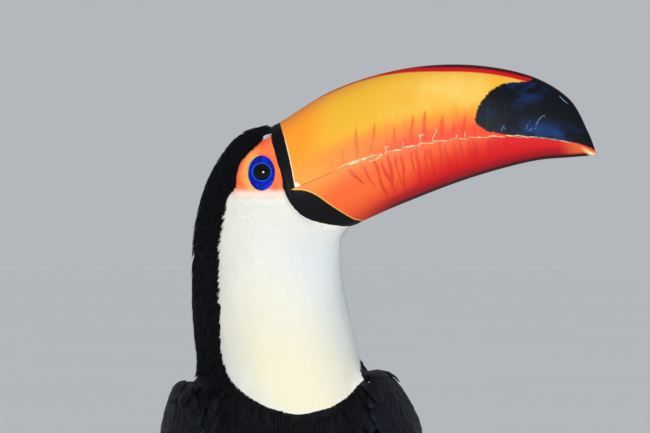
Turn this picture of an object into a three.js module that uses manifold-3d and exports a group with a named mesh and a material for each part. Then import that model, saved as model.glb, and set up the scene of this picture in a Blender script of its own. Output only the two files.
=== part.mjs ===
// A life-size toco toucan gripping a short cut branch, on a plain display stand.
// Millimetres, +Z up. The breast faces -Y, the head is turned to +X, the tail hangs at +Y.
// The origin is the middle of the stand's underside.
import * as THREE from "three";
import { mergeVertices } from "three/addons/utils/BufferGeometryUtils.js";
import Module from "manifold-3d";

const wasm = await Module();
wasm.setup();

// ---------------------------------------------------------------- driving dimensions
const GAP = 0.35; // clearance between solids that touch
const BASE = { width: 230, depth: 236, thick: 16, corner: 40 };
const ROD = { radius: 4.5, apart: 150 };
const PERCH = { radius: 15, length: 226, y: -32, z: 148 }; // the branch's axis runs along X
const EYE = { radius: 9, x: -17.8, z: 442.1, deep: 16.9 };
const HEAD_Y = -14; // the head's middle plane, measured from the branch
const WING = { thick: 11, off: 1.9, lift: 0.15 }; // lift: the left shoulder's rise, in rings
const TAIL = { length: 152, halfWidth: 29, thick: 3.4 };
const TOE = { base: 4.3, tip: 3.1, claw: 2.5 };
const BODY_AROUND = 24; // facets round the body
const LEG_X = 23; // each foot's distance from the middle plane

// ---------------------------------------------------------------- helpers
const vec = (x, y, z) => new THREE.Vector3(x, y, z);
const rad = THREE.MathUtils.degToRad;
const lerp = THREE.MathUtils.lerp;
const smooth = (v, low, high) => THREE.MathUtils.smoothstep(v, low, high);

// A closed cylinder whose every vertex is placed by place(along 0..1, angle, radius 0..1).
function shaped(around, along, place) {
  const g = new THREE.CylinderGeometry(1, 1, 1, around, along);
  const p = g.getAttribute("position");
  for (let i = 0; i < p.count; i++) {
    const v = p.getY(i) + 0.5;
    const radius = Math.min(1, Math.hypot(p.getX(i), p.getZ(i)));
    const angle = Math.atan2(p.getZ(i), p.getX(i));
    const at = place(v, angle, radius);
    p.setXYZ(i, at.x, at.y, at.z);
  }
  g.deleteAttribute("normal");
  g.deleteAttribute("uv");
  return mergeVertices(g, 1e-4);
}

// The geometry as a manifold-3d solid, turned right side out.
function solid(geometry) {
  const g = geometry.clone();
  g.deleteAttribute("normal");
  g.deleteAttribute("uv");
  const merged = mergeVertices(g, 1e-4);
  const triVerts = new Uint32Array(merged.index.array);
  const vertProperties = new Float32Array(merged.getAttribute("position").array);
  const made = new wasm.Manifold(new wasm.Mesh({ numProp: 3, vertProperties, triVerts }));
  if (made.volume() >= 0) return made;
  for (let i = 0; i < triVerts.length; i += 3)
    [triVerts[i + 1], triVerts[i + 2]] = [triVerts[i + 2], triVerts[i + 1]];
  return new wasm.Manifold(new wasm.Mesh({ numProp: 3, vertProperties, triVerts }));
}

function geometryOf(manifold) {
  const mesh = manifold.getMesh();
  return new THREE.BufferGeometry()
    .setAttribute("position", new THREE.BufferAttribute(new Float32Array(mesh.vertProperties), 3))
    .setIndex(new THREE.BufferAttribute(new Uint32Array(mesh.triVerts), 1));
}

// Catmull-Rom through a list of equal-length number rows, at t from 0 to rows.length - 1.
function rowAt(rows, t) {
  const last = rows.length - 1;
  const i = Math.min(Math.max(Math.floor(t), 0), last - 1);
  const f = t - i;
  const [a, b, c, d] = [i - 1, i, i + 1, i + 2].map((k) => rows[Math.min(Math.max(k, 0), last)]);
  return b.map((_, k) => {
    const m = (c[k] - a[k]) / 2;
    const n = (d[k] - b[k]) / 2;
    const s = f * f * (3 - 2 * f);
    return b[k] + (c[k] - b[k]) * s + m * f * (1 - f) ** 2 - n * f * f * (1 - f);
  });
}

// ---------------------------------------------------------------- the body's rings
// Each ring is an egg: middle x y z, turn of its front (0 to -Y, 90 to +X), pitch of its front
// below level, its reach to the front, to the back and to each side, and how much its front is
// drawn in to a point. They run from the tail up to the bill.
const RINGS = [
  [0, 92, 172, 0, 55, 11, 9, 22, 0], // tail root
  [0, 70, 188, 0, 52, 22, 17, 30, 0], // vent
  [0, 47, 208, 0, 45, 34, 28, 42, 0], // rump
  [0, 26, 233, 0, 38, 46, 39, 54, 0], // belly
  [0, 8, 261, 0, 30, 54, 46, 61, 0], // middle of the body
  [-1, -4, 290, 0, 22, 58, 47, 61, 0], // breast
  [-3.5, -10, 314, 0, 12, 53, 46, 54.5, 0], // shoulders
  [-8, -12, 334, 5, 4, 47, 45, 47.8, 0], // neck base
  [-11.1, -13, 353, 25, 2, 46.4, 46.4, 46.4, 0],
  [-13.6, -14, 372, 52, 0, 45.2, 45.2, 44, 0.06], // middle of the neck
  [-15, -14, 391, 75, 0, 43.6, 43.6, 40, 0.18],
  [-15, -14, 405, 88, 0, 43.1, 43.1, 35.5, 0.32], // throat
  [-10.5, -14, 420, 90, 15, 43, 43.4, 29.6, 0.42], // jaw
  [-4, -14, 432, 90, 30, 42.2, 42.9, 26.2, 0.36], // eyes
  [2.5, -14, 438.6, 90, 42, 40.8, 41.3, 24, 0.24], // forehead
  [10, -14, 440.6, 90, 52, 37.2, 37.3, 22.4, 0.1], // bill base
  [16, -14, 443, 90, 60, 36, 34, 21, 0.1],
];
const NECK_BASE = 7;
const THROAT = 11;
const HEAD_END = RINGS.length - 1;

function ringFrame(t) {
  const [x, y, z, turn, pitch, front, back, side, egg] = rowAt(RINGS, t);
  const [a, p] = [rad(turn), rad(pitch)];
  const forward = vec(Math.sin(a) * Math.cos(p), -Math.cos(a) * Math.cos(p), -Math.sin(p));
  const left = vec(Math.cos(a), Math.sin(a), 0);
  const up = forward.clone().cross(left);
  return { middle: vec(x, y, z), forward, left, up, front, back, side, egg };
}

// A point on the body: angle 0 is the front, 90 degrees the bird's left, 180 the back.
function bodyPoint(t, angle, radius = 1, out = 0) {
  const r = ringFrame(t);
  const [c, s] = [Math.cos(angle), Math.sin(angle)];
  const reach = c > 0 ? r.front : r.back;
  const side = r.side * (1 - r.egg * Math.max(c, 0));
  const normal = r.forward.clone().multiplyScalar(c / reach).addScaledVector(r.left, s / side).normalize();
  return r.middle
    .addScaledVector(r.forward, radius * reach * c)
    .addScaledVector(r.left, radius * side * s)
    .addScaledVector(normal, out);
}

// The body between two rings, grown by `out`. It starts GAP above its first ring, or GAP below
// it if grown, so that neighbouring lengths don't touch.
function bodyLength(from, to, along, out = 0) {
  const start = ringFrame(from).up.multiplyScalar(out ? -GAP : from && GAP);
  return shaped(BODY_AROUND, along, (v, angle, radius) => {
    const at = bodyPoint(lerp(from, to, v), angle, radius, out * radius);
    return v > 0 ? at : at.add(start);
  });
}

// ---------------------------------------------------------------- bill
// Side-view lines as [x, z] from the head to the tip, and the half width at fractions of the length.
const TIP = [171.2, 451.8];
const CULMEN = [
  [-30, 457], [-7.7, 470.6], [23, 489], [60, 500.4], [97, 503.1], [132, 497.3], [155, 484.2], [166, 465.5], TIP,
];
const TOMIUM = [[-30, 425], [0, 433.2], [35, 447.3], [72, 457.6], [110, 461.8], [140, 461.2], [161, 457], TIP];
const KEEL = [[-30, 396], [8, 404], [33, 412.4], [60, 424], [97, 438.2], [133, 448.2], [158, 450.9], TIP];
const BILL_HALF_WIDTH = [24.4, 23.8, 22.4, 20.7, 18.6, 16, 12.4, 7.7, 1.2];
const BILL_BACK = -22;

function heightOn(line, x) {
  const curve = new THREE.SplineCurve(line.map(([a, b]) => new THREE.Vector2(a, b)));
  let [low, high] = [0, 1];
  for (let i = 0; i < 24; i++) {
    const mid = (low + high) / 2;
    if (curve.getPoint(mid).x < x) low = mid;
    else high = mid;
  }
  return curve.getPoint(low).y;
}

// One half of the bill: the tomium line is its flat side, the culmen or keel its round one.
function billHalf(line, squareness, narrower, offset) {
  const length = TIP[0] - BILL_BACK;
  return shaped(18, 18, (v, angle, radius) => {
    const x = lerp(BILL_BACK, TIP[0], Math.sin((v * Math.PI) / 2) ** 0.85);
    const flat = heightOn(TOMIUM, x) + offset;
    const tall = Math.max(Math.abs(heightOn(line, x) - flat), 0.4) * Math.sign(offset);
    const half = narrower * rowAt(BILL_HALF_WIDTH.map((w) => [w]), (8 * (x - BILL_BACK)) / length)[0];
    const round = (angle + Math.PI) / (2 * Math.PI); // a quarter of the points lie on the flat side
    const turn = round < 0.25 ? (4 * round - 1) * Math.PI : ((round - 0.25) / 0.75) * Math.PI;
    const [c, s] = [Math.cos(turn), Math.sin(turn)];
    const across = Math.sign(c) * Math.abs(c) ** (2 / squareness) * half * radius;
    const up = s > 0 ? s ** (2 / squareness) * tall * radius : 0;
    return vec(x, HEAD_Y + across, flat + up);
  });
}

// Everything on the bill's side of the line where the feathers stop, as a slab right through the head.
const FEATHER_LINE = [
  [-17, 478], [-10.6, 456], [-6.6, 438], [-3.6, 426.4], [5.2, 416.2], [19, 411.6], [34, 411.2],
];

function billSide() {
  const shape = new THREE.Shape();
  shape.moveTo(...FEATHER_LINE[0]);
  shape.splineThru(FEATHER_LINE.slice(1).map(([x, z]) => new THREE.Vector2(x, z)));
  shape.lineTo(60, 396);
  shape.lineTo(200, 396);
  shape.lineTo(200, 530);
  shape.lineTo(FEATHER_LINE[0][0], 530);
  const slab = new THREE.ExtrudeGeometry(shape, { depth: 120, bevelEnabled: false, curveSegments: 3 });
  return slab.rotateX(Math.PI / 2).translate(0, 60 + HEAD_Y, 0);
}

// ---------------------------------------------------------------- wings
// Along the folded wing: ring position on the body, front edge and back edge in degrees round
// the body, and thickness as a share of WING.thick. Below ring 0 it lies over the tail.
const WING_ROWS = [
  [6.74, 64, 86, 0.4],
  [6.52, 54, 104, 0.8],
  [6.05, 48, 122, 1.02],
  [5.3, 50, 136, 1.06],
  [4.2, 56, 146, 1.0],
  [3.1, 66, 155, 0.92],
  [2.0, 80, 162, 0.84],
  [1.0, 92, 167, 0.74],
  [0.2, 99, 170, 0.62],
  [-0.35, 104, 173, 0.5],
  [-0.8, 113, 175, 0.4],
  [-1.12, 128, 176, 0.26],
  [-1.35, 150, 174, 0.08],
];
// Rings that follow the top of the tail, below the tail root.
const TAIL_RINGS = [
  [0, 141, 105, 0, 28, 5, 4.2, 24, 0],
  [0, 124.6, 136, 0, 32, 6, 8, 23.5, 0],
];

function wingBed(t, angle, out) {
  if (t >= 0) return bodyPoint(t, angle, 1, out);
  const [x, y, z, , pitch, , back, side] = rowAt([...TAIL_RINGS, RINGS[0]], 2 + t);
  const p = rad(pitch);
  const [c, s] = [Math.cos(angle), Math.sin(angle)];
  const behind = vec(0, Math.cos(p), Math.sin(p));
  const normal = behind.clone().multiplyScalar(-c / back).setX(s / side).normalize();
  return vec(x + side * s, y, z).addScaledVector(behind, -back * c).addScaledVector(normal, out);
}

// The folded wing lies on the body like a shell: flat within, rounded without.
function foldedWing(sideways, lift) {
  const end = WING_ROWS.length - 1;
  return shaped(16, 20, (v, angle, radius) => {
    const [row, front, back, thick] = rowAt(WING_ROWS, v * end);
    const t = row + lift * smooth(row, 3, 6.5);
    const across = (1 - Math.cos(angle) * radius) / 2;
    const high = Math.max(Math.sin(angle), 0) * radius;
    const out = WING.off + WING.thick * thick * high ** 0.75;
    return wingBed(t, sideways * rad(lerp(front, back, across)), out);
  });
}

// ---------------------------------------------------------------- tail
function tail() {
  return shaped(16, 13, (row, angle, radius) => {
    const v = 1 - (1 - row) ** 1.6;
    const pitch = rad(lerp(55, 28, smooth(v, 0, 0.28)));
    const bend = 0.12 * TAIL.length;
    const turnIn = Math.min(v, 0.28) / 0.28;
    const y = 92.4 + v * TAIL.length * Math.sin(rad(28)) + bend * Math.sin((turnIn * Math.PI) / 2) * 0.55;
    const z = 171.7 - v * TAIL.length * Math.cos(rad(28)) + bend * Math.sin((turnIn * Math.PI) / 2) * 0.3;
    const round = Math.sqrt(Math.max(1 - Math.max((v - 0.8) / 0.2, 0) ** 2.6, 0));
    const half = lerp(18.5, TAIL.halfWidth, smooth(v, 0, 0.5)) * Math.max(round, 0.12);
    const thick = lerp(8.2, TAIL.thick, smooth(v, 0, 0.42)) * lerp(1, 0.35, smooth(v, 0.3, 1));
    const [c, s] = [Math.cos(angle), Math.sin(angle)];
    const across = Math.sign(c) * Math.abs(c) ** 0.8 * half * radius;
    const up = Math.sign(s) * Math.abs(s) ** 0.8 * thick * radius - 0.0016 * across * across;
    return vec(across, y + up * Math.cos(pitch), z + up * Math.sin(pitch));
  });
}

// ---------------------------------------------------------------- legs
// A tube of round sections along points, with a radius at each.
function limb(points, radii, around, along) {
  const curve = new THREE.CatmullRomCurve3(points);
  const last = radii.length - 1;
  return shaped(around, along, (v, angle, radius) => {
    const at = curve.getPoint(v);
    const ahead = curve.getTangent(v);
    const sideways = vec(1, 0, 0).addScaledVector(ahead, -ahead.x).normalize();
    const other = ahead.clone().cross(sideways);
    const r = rowAt(radii.map((k) => [k]), v * last)[0] * radius;
    return at.addScaledVector(sideways, r * Math.cos(angle)).addScaledVector(other, r * Math.sin(angle));
  });
}

// The shank leans back from the foot into the belly's feathers, and a short trouser of
// feathers wraps its top.
const ANKLE = [LEG_X, 0.5, PERCH.z + PERCH.radius + 6];
const HEEL = [LEG_X + 1.5, 24, 212];
const SHANK = [4.6, 3.9, 3.6, 5.2];
const TROUSER = [[31, 2, 240], [30.5, 8, 218], [27.5, 13.5, 201], [24.2, 10, 189]];
const TROUSER_RADII = [14, 17, 11.5, 6.2];

function shank(sideways, grow) {
  const middle = HEEL.map((h, i) => (h + ANKLE[i]) / 2 + [0, 1, -0.6][i]);
  const points = [HEEL, middle, ANKLE].map(([x, y, z]) => vec(x * sideways, y, z));
  return solid(limb(points, SHANK.map((r) => r + grow), 10, 6));
}

function thigh(sideways) {
  const points = TROUSER.map(([x, y, z]) => vec(x * sideways, y, z));
  const all = solid(limb(points, TROUSER_RADII, 11, 7));
  return geometryOf(all.subtract(grownBody).subtract(shank(sideways, GAP)));
}

// Toes: name, way along Y, sweep round the branch in degrees, start along X and drift to the tip.
const TOES = [
  { name: "inner_front", way: -1, sweep: 90, x: -2.6, drift: -8.5 },
  { name: "outer_front", way: -1, sweep: 114, x: 2.6, drift: 7.5 },
  { name: "inner_back", way: 1, sweep: 68, x: -2.6, drift: -7 },
  { name: "outer_back", way: 1, sweep: 102, x: 2.6, drift: 8.5 },
];
const TOE_START = 3; // degrees from the top of the branch
const CLAW_SWEEP = 34; // degrees round the branch

// A point beside the branch: degrees from its top, way along Y and height above the bark.
function byPerch(x, degrees, way, height) {
  const r = PERCH.radius + height;
  return vec(x, way * r * Math.sin(rad(degrees)), PERCH.z + r * Math.cos(rad(degrees)));
}

function toe({ way, sweep, x, drift }, footX, sideways) {
  const points = [];
  const radii = [];
  const steps = 6;
  for (let i = 0; i <= steps; i++) {
    const f = i / steps;
    const r = lerp(TOE.base, TOE.tip, f) * (1 + 0.06 * Math.cos(f * 4 * Math.PI));
    points.push(byPerch(footX + sideways * (x + drift * f), TOE_START + sweep * f, way, GAP + r));
    radii.push(r);
  }
  return limb(points, radii, 8, 7);
}

function claw({ way, sweep, x, drift }, footX, sideways) {
  const points = [];
  const radii = [];
  const steps = 4;
  for (let i = 0; i <= steps; i++) {
    const f = i / steps;
    const turn = TOE_START + sweep + 3.2 + CLAW_SWEEP * f;
    const height = GAP + TOE.claw + 0.6 + 2.8 * Math.sin(Math.PI * Math.min(f * 1.15, 1)) * (1 - 0.45 * f);
    points.push(byPerch(footX + sideways * (x + drift * (1 + 0.2 * f)), turn, way, height));
    radii.push(TOE.claw * (1 - f) ** 0.7 + 0.28);
  }
  return limb(points, radii, 6, 5);
}

// The bare leg is made whole, then parted above the toes and cut where it enters the feathers.
function bareLeg(sideways) {
  const footX = sideways * LEG_X;
  let whole = shank(sideways, 0);
  for (const digit of TOES) whole = whole.add(solid(toe(digit, footX, sideways)));
  const cut = PERCH.z + PERCH.radius + 11;
  const above = solid(new THREE.BoxGeometry(60, 90, 100).translate(footX, 0, cut + 50));
  const below = solid(new THREE.BoxGeometry(60, 90, 100).translate(footX, 0, cut - GAP - 50));
  return { tarsus: whole.intersect(above).subtract(grownBody), foot: whole.intersect(below) };
}

// ---------------------------------------------------------------- branch and stand
function perch() {
  return shaped(18, 14, (v, angle, radius) => {
    const x = (v - 0.5) * PERCH.length;
    const away = smooth(Math.abs(x), 46, 70); // the bark is even where the feet grip
    const uneven = 0.05 * Math.sin(x / 11) + 0.045 * Math.cos(3 * angle + x / 17);
    const r = PERCH.radius * (1 + away * uneven) * radius;
    return vec(x, r * Math.cos(angle), PERCH.z + r * Math.sin(angle));
  });
}

function standBase() {
  const [w, d, c] = [BASE.width / 2, BASE.depth / 2, BASE.corner];
  const shape = new THREE.Shape();
  shape.moveTo(-w + c, -d);
  shape.absarc(w - c, -d + c, c, -Math.PI / 2, 0);
  shape.absarc(w - c, d - c, c, 0, Math.PI / 2);
  shape.absarc(-w + c, d - c, c, Math.PI / 2, Math.PI);
  shape.absarc(-w + c, -d + c, c, Math.PI, 1.5 * Math.PI);
  return new THREE.ExtrudeGeometry(shape, { depth: BASE.thick, bevelEnabled: false, curveSegments: 6 });
}

function standRod() {
  const low = BASE.thick + GAP;
  const high = PERCH.z - PERCH.radius * 1.1 - GAP;
  return new THREE.CylinderGeometry(ROD.radius, ROD.radius, high - low, 14)
    .rotateX(Math.PI / 2)
    .translate(0, 0, (low + high) / 2);
}

// ---------------------------------------------------------------- materials
const finish = (color, roughness, metalness = 0) =>
  new THREE.MeshStandardMaterial({ color, roughness, metalness });
const MATERIALS = {
  black: finish(0x0b0c12, 0.62),
  head: finish(0xd8d3c4, 0.75),
  upperBill: finish(0xf39a2c, 0.32),
  lowerBill: finish(0xe8452c, 0.32),
  eye: finish(0x060608, 0.06),
  leg: finish(0x5d7080, 0.55),
  claw: finish(0x17171a, 0.4),
  bark: finish(0x4d3d30, 0.9),
  wood: finish(0x2c221b, 0.5),
  steel: finish(0x9a9a9c, 0.35, 1),
};

// ---------------------------------------------------------------- the scene graph
const toucan = new THREE.Group();
const bird = new THREE.Group(); // the bird and its branch, set back from the base's middle
bird.position.y = PERCH.y;
toucan.add(bird);

function add(group, name, geometry, material) {
  const mesh = new THREE.Mesh(geometryOf(solid(geometry)), material);
  mesh.name = name;
  group.add(mesh);
  return mesh;
}

// The trunk grown by GAP, to cut what lies against it.
const grownBody = solid(bodyLength(0, NECK_BASE, 17, GAP));
const billSlab = solid(billSide());
const eyeAt = (side) => vec(EYE.x, HEAD_Y + side * EYE.deep, EYE.z);
const eyeBall = (side, grow) =>
  new THREE.SphereGeometry(EYE.radius + grow, 14, 9).translate(...eyeAt(side).toArray());

add(bird, "trunk", bodyLength(0, NECK_BASE, 17), MATERIALS.black);
add(bird, "neck", bodyLength(NECK_BASE, THROAT, 9), MATERIALS.head);

let headSolid = solid(bodyLength(THROAT, HEAD_END, 12)).subtract(billSlab);
for (const side of [-1, 1]) headSolid = headSolid.subtract(solid(eyeBall(side, GAP)));
add(bird, "head", geometryOf(headSolid), MATERIALS.head);
add(bird, "eye_right", eyeBall(-1, 0), MATERIALS.eye);
add(bird, "eye_left", eyeBall(1, 0), MATERIALS.eye);

const billRegion = billSlab.translate([GAP, 0, GAP]);
for (const [name, line, squareness, narrower, offset, material] of [
  ["bill_upper", CULMEN, 2.35, 1, GAP / 2, MATERIALS.upperBill],
  ["bill_lower", KEEL, 2.1, 0.98, -GAP / 2, MATERIALS.lowerBill],
]) {
  const half = solid(billHalf(line, squareness, narrower, offset));
  add(bird, name, geometryOf(half.intersect(billRegion)), material);
}

for (const [side, sideways] of [["left", 1], ["right", -1]]) {
  const lift = side === "left" ? WING.lift : -WING.lift;
  add(bird, `wing_${side}`, foldedWing(sideways, lift), MATERIALS.black);
  add(bird, `thigh_${side}`, thigh(sideways), MATERIALS.black);
  const { tarsus, foot } = bareLeg(sideways);
  add(bird, `tarsus_${side}`, geometryOf(tarsus), MATERIALS.leg);
  add(bird, `foot_${side}`, geometryOf(foot), MATERIALS.leg);
  for (const digit of TOES) {
    const nail = claw(digit, sideways * LEG_X, sideways);
    add(bird, `claw_${digit.name}_${side}`, nail, MATERIALS.claw);
  }
}

add(bird, "tail", tail(), MATERIALS.black);
add(bird, "perch", perch(), MATERIALS.bark);
add(toucan, "stand_base", standBase(), MATERIALS.wood);
for (const [side, sideways] of [["left", 1], ["right", -1]]) {
  const rod = add(bird, `stand_rod_${side}`, standRod(), MATERIALS.steel);
  rod.position.x = (sideways * ROD.apart) / 2;
}

export default toucan;
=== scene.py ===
# %% [markdown]
# # A toco toucan on a display stand
# This lesson finishes a life-size museum model of a toco toucan. The solid model already holds
# the right outline, pose and size. Here it gets a skin, a horn bill, wet eyes, a coat of real
# mesh feathers and a proper stand. The solid model is loaded first and never moved.

import math
from functools import partialmethod

import bpy
import numpy as np
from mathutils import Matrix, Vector
from mathutils.bvhtree import BVHTree


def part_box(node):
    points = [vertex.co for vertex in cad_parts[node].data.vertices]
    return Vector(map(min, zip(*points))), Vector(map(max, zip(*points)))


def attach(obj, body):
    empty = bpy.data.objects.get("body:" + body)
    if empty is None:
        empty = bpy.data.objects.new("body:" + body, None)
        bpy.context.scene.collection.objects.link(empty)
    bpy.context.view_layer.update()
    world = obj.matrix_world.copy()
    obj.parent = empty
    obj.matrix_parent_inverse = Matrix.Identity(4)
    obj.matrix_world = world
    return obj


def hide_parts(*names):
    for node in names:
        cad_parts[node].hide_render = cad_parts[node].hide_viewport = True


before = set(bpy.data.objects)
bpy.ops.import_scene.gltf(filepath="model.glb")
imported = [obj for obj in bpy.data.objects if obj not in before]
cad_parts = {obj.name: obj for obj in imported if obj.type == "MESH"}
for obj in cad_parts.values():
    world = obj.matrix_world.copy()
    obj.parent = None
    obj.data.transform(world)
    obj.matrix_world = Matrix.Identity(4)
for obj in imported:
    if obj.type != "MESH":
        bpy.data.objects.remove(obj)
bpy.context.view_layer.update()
MM = 0.001
SEED = 20

# %% [markdown]
# ## The camera
# A bird's head is best seen through a long lens from a few metres away, level with its eye,
# because a short lens swells whatever is nearest. The camera looks along +Y at the middle of
# the head and bill.

# %% Camera
VIEW_WIDTH = 0.3673
VIEW_CENTRE = Vector((0.0175, -0.046, 0.4173))
VIEW_DISTANCE = 3.2
SENSOR = 36

bpy.ops.object.camera_add(
    location=VIEW_CENTRE + Vector((0, -VIEW_DISTANCE, 0)), rotation=(math.radians(90), 0, 0)
)
camera = bpy.context.object
camera.name = "camera"
camera.data.sensor_width = SENSOR
camera.data.lens = SENSOR * VIEW_DISTANCE / VIEW_WIDTH
camera.data.clip_end = 100
bpy.context.scene.camera = camera
bpy.context.scene.view_settings.view_transform = "Standard"
print("lens", round(camera.data.lens), "mm")

# %% [markdown]
# ## Studio light
# A broad sun lights the bird without hard shadows, and a disk fills in from its bill's side.
# Neither shows in a gloss. The glint lamp makes the highlight on horn and varnish. A wet eye
# reflects little, so it has a strong lamp of its own, which light linking keeps off the rest.

# %% Soft studio lights
LIGHTS = {
    "key": {"kind": "SUN", "place": (0.2, -3.8, 2.0), "power": 1.45, "angle": 16},
    "fill": {"kind": "AREA", "place": (1.9, -2.2, 0.9), "power": 6, "size": 1.2},
    "glint": {"kind": "AREA", "place": (0.4, -3.1, 0.5), "power": 21, "size": 0.8},
    "eye_glint": {"kind": "AREA", "place": (0.75, -3.0, 0.5), "power": 150, "size": 1.1},
}

for name, light in LIGHTS.items():
    place = Vector(light["place"])
    aim = VIEW_CENTRE - place
    bpy.ops.object.light_add(type=light["kind"], location=place)
    lamp = bpy.context.object
    lamp.name = "light_" + name
    lamp.rotation_euler = aim.to_track_quat("-Z", "Y").to_euler()
    lamp.data.energy = light["power"]
    if light["kind"] == "SUN":
        lamp.data.angle = math.radians(light["angle"])
        lamp.visible_glossy = False
    else:
        lamp.data.shape = "DISK"
        lamp.data.size = light["size"]
        lamp.visible_glossy = "glint" in name
        lamp.visible_diffuse = name != "eye_glint"
print(len(LIGHTS), "lights")

# %% [markdown]
# ## Writing shader maths as plain expressions
# A material is a graph of nodes, but its maths reads best as a formula. `Value` wraps a node's
# output socket, so that `1 - mask * 0.5` adds the Math nodes by itself.


# %% A socket with operators
class Value:
    """A number coming out of a node; arithmetic on it adds Math nodes."""

    def __init__(self, finish, socket):
        self.finish, self.socket = finish, socket

    def math(self, operation, *others):
        sources = dict(enumerate([self, *others]))
        return self.finish.node("ShaderNodeMath", {"operation": operation}, sources)

    __add__ = __radd__ = partialmethod(math, "ADD")
    __sub__ = partialmethod(math, "SUBTRACT")
    __mul__ = __rmul__ = partialmethod(math, "MULTIPLY")
    __truediv__ = partialmethod(math, "DIVIDE")
    __abs__ = partialmethod(math, "ABSOLUTE")
    __or__ = partialmethod(math, "MAXIMUM")
    __and__ = partialmethod(math, "MINIMUM")

    def __rsub__(self, other):
        return self.finish.node("ShaderNodeMath", {"operation": "SUBTRACT"}, {0: other, 1: self})

    def between(self, low, high):
        """0 below low, 1 above high and smooth between; low may be the larger."""
        low, high, flip = (low, high, False) if low < high else (high, low, True)
        ramp = self.finish.node(
            "ShaderNodeMapRange",
            {"interpolation_type": "SMOOTHSTEP"},
            {"Value": self, "From Min": low, "From Max": high},
        )
        return 1 - ramp if flip else ramp


print("a Value knows", sum(name.startswith("__") for name in vars(Value)), "special methods")

# %% [markdown]
# ## One class for every finish
# Colours are given as a display shows them, 0 to 255, and turned to the linear light that
# shaders want. Constants go straight on the shader's sockets, and only what varies over a
# surface gets nodes. Paint builds up in layers, each laid over the last, as with a brush.


# %% A material builder
def rgb(red, green, blue):
    """A display colour of 0 to 255 a channel as the linear colour that shaders want."""
    parts = [c / 255 for c in (red, green, blue)]
    return tuple(c / 12.92 if c <= 0.04045 else ((c + 0.055) / 1.055) ** 2.4 for c in parts) + (1,)


class Finish:
    """One procedural material, built round a Principled shader."""

    def __init__(self, name, **constants):
        self.material = bpy.data.materials.new(name)
        self.material.use_nodes = True
        self.tree = self.material.node_tree
        self.shader = self.tree.nodes["Principled BSDF"]
        for socket, value in constants.items():
            self.shader.inputs[socket.replace("_", " ")].default_value = value

    def put(self, socket, source):
        if isinstance(source, Value):
            self.tree.links.new(source.socket, socket)
        else:
            socket.default_value = source

    def node(self, kind, settings=None, inputs=None, output=0):
        made = self.tree.nodes.new(kind)
        for key, value in (settings or {}).items():
            if key == "stops":
                ramp = made.color_ramp.elements
                while len(ramp) < len(value):
                    ramp.new(0.5)
                for stop, (place, colour) in zip(ramp, value):
                    stop.position = place
                    stop.color = colour
            else:
                setattr(made, key, value)
        for key, source in (inputs or {}).items():
            self.put(made.inputs[key], source)
        return Value(self, made.outputs[output])

    def place(self):
        return self.node("ShaderNodeTexCoord", output="Object")

    def axis(self, letter):
        """One object coordinate in millimetres."""
        return self.node("ShaderNodeSeparateXYZ", {}, {0: self.place()}, letter) * (1 / MM)

    def attribute(self, name):
        return self.node("ShaderNodeAttribute", {"attribute_name": name}, {}, "Fac")

    def noise(self, size, detail=3, rough=0.55, stretch=(1, 1, 1)):
        """Noise whose features are about `size` metres across, longer where stretch is under 1."""
        spot = self.node("ShaderNodeVectorMath", {"operation": "MULTIPLY"}, {0: self.place(), 1: stretch})
        inputs = {"Vector": spot, "Scale": 1 / size, "Detail": detail, "Roughness": rough}
        return self.node("ShaderNodeTexNoise", {}, inputs, "Fac")

    def mix(self, amount, below, above):
        """Colour `above` laid over colour `below` by amount 0 to 1."""
        return self.node("ShaderNodeMix", {"data_type": "RGBA"}, {"Factor": amount, 6: below, 7: above}, 2)

    def paint(self, amount, above):
        """Lays a colour over `colour`, all that was painted so far, by amount 0 to 1."""
        self.colour = self.mix(amount, self.colour, above)
        self.set("Base Color", self.colour)

    def bump(self, height, distance, strength=1.0):
        """Height in units of `distance` metres, as a normal on the shader."""
        inputs = {"Height": height, "Distance": distance, "Strength": strength}
        self.set("Normal", self.node("ShaderNodeBump", {}, inputs))

    def set(self, socket, source):
        self.put(self.shader.inputs[socket], source)

    def on(self, piece):
        """Puts the material on a piece, in place of whatever was there."""
        piece.data.materials.clear()
        piece.data.materials.append(self.material)
        return piece


print("white is", rgb(255, 255, 255))

# %% [markdown]
# ## Floor and sky
# The floor is plain and pale, painted with the faintest cloud. The far sky is a ramp by height,
# tuned to the floor's own brightness, so that no hard horizon crosses the view.


# %% Floor and sky
class Air(Finish):
    """The world's nodes, written in the same way as a material's."""

    def __init__(self, name):
        world = bpy.data.worlds.new(name)
        world.use_nodes = True
        bpy.context.scene.world = world
        self.tree = world.node_tree
        self.shader = self.tree.nodes["Background"]


bpy.ops.mesh.primitive_circle_add(vertices=96, radius=40, fill_type="NGON", location=(0, 0, 0))
floor = bpy.context.object
floor.name = "floor"
floor_finish = Finish("floor_paint", Roughness=0.9)
floor_finish.colour = rgb(240, 242, 242)
floor_finish.paint(floor_finish.noise(0.9, detail=2), rgb(244, 245, 244))
floor_finish.on(floor)

air = Air("studio_air")
view_way = air.node("ShaderNodeTexCoord", output="Generated")
upward = air.node("ShaderNodeSeparateXYZ", {}, {0: view_way}, "Z")
horizon_to_top = [(0.12, (0.455, 0.479, 0.504, 1)), (0.6, (0.32, 0.34, 0.365, 1))]
air.set("Color", air.node("ShaderNodeValToRGB", {"stops": horizon_to_top}, {0: upward}, "Color"))
print("floor and air are set")

# %% [markdown]
# ## Small tools for meshes
# Everything below is made by selecting pieces, running an operator on them and then moving
# points by a formula, so a few short helpers save a lot of repeated lines.


# %% Mesh helpers
def only(*pieces):
    """Selects just these pieces and makes the last one active."""
    bpy.ops.object.select_all(action="DESELECT")
    for piece in pieces:
        piece.select_set(True)
    bpy.context.view_layer.objects.active = pieces[-1]


def edit(piece, *steps):
    """Runs edit-mode steps on the whole of a piece."""
    only(piece)
    bpy.ops.object.mode_set(mode="EDIT")
    bpy.ops.mesh.select_all(action="SELECT")
    for step in steps:
        step()
    bpy.ops.object.mode_set(mode="OBJECT")


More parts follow.
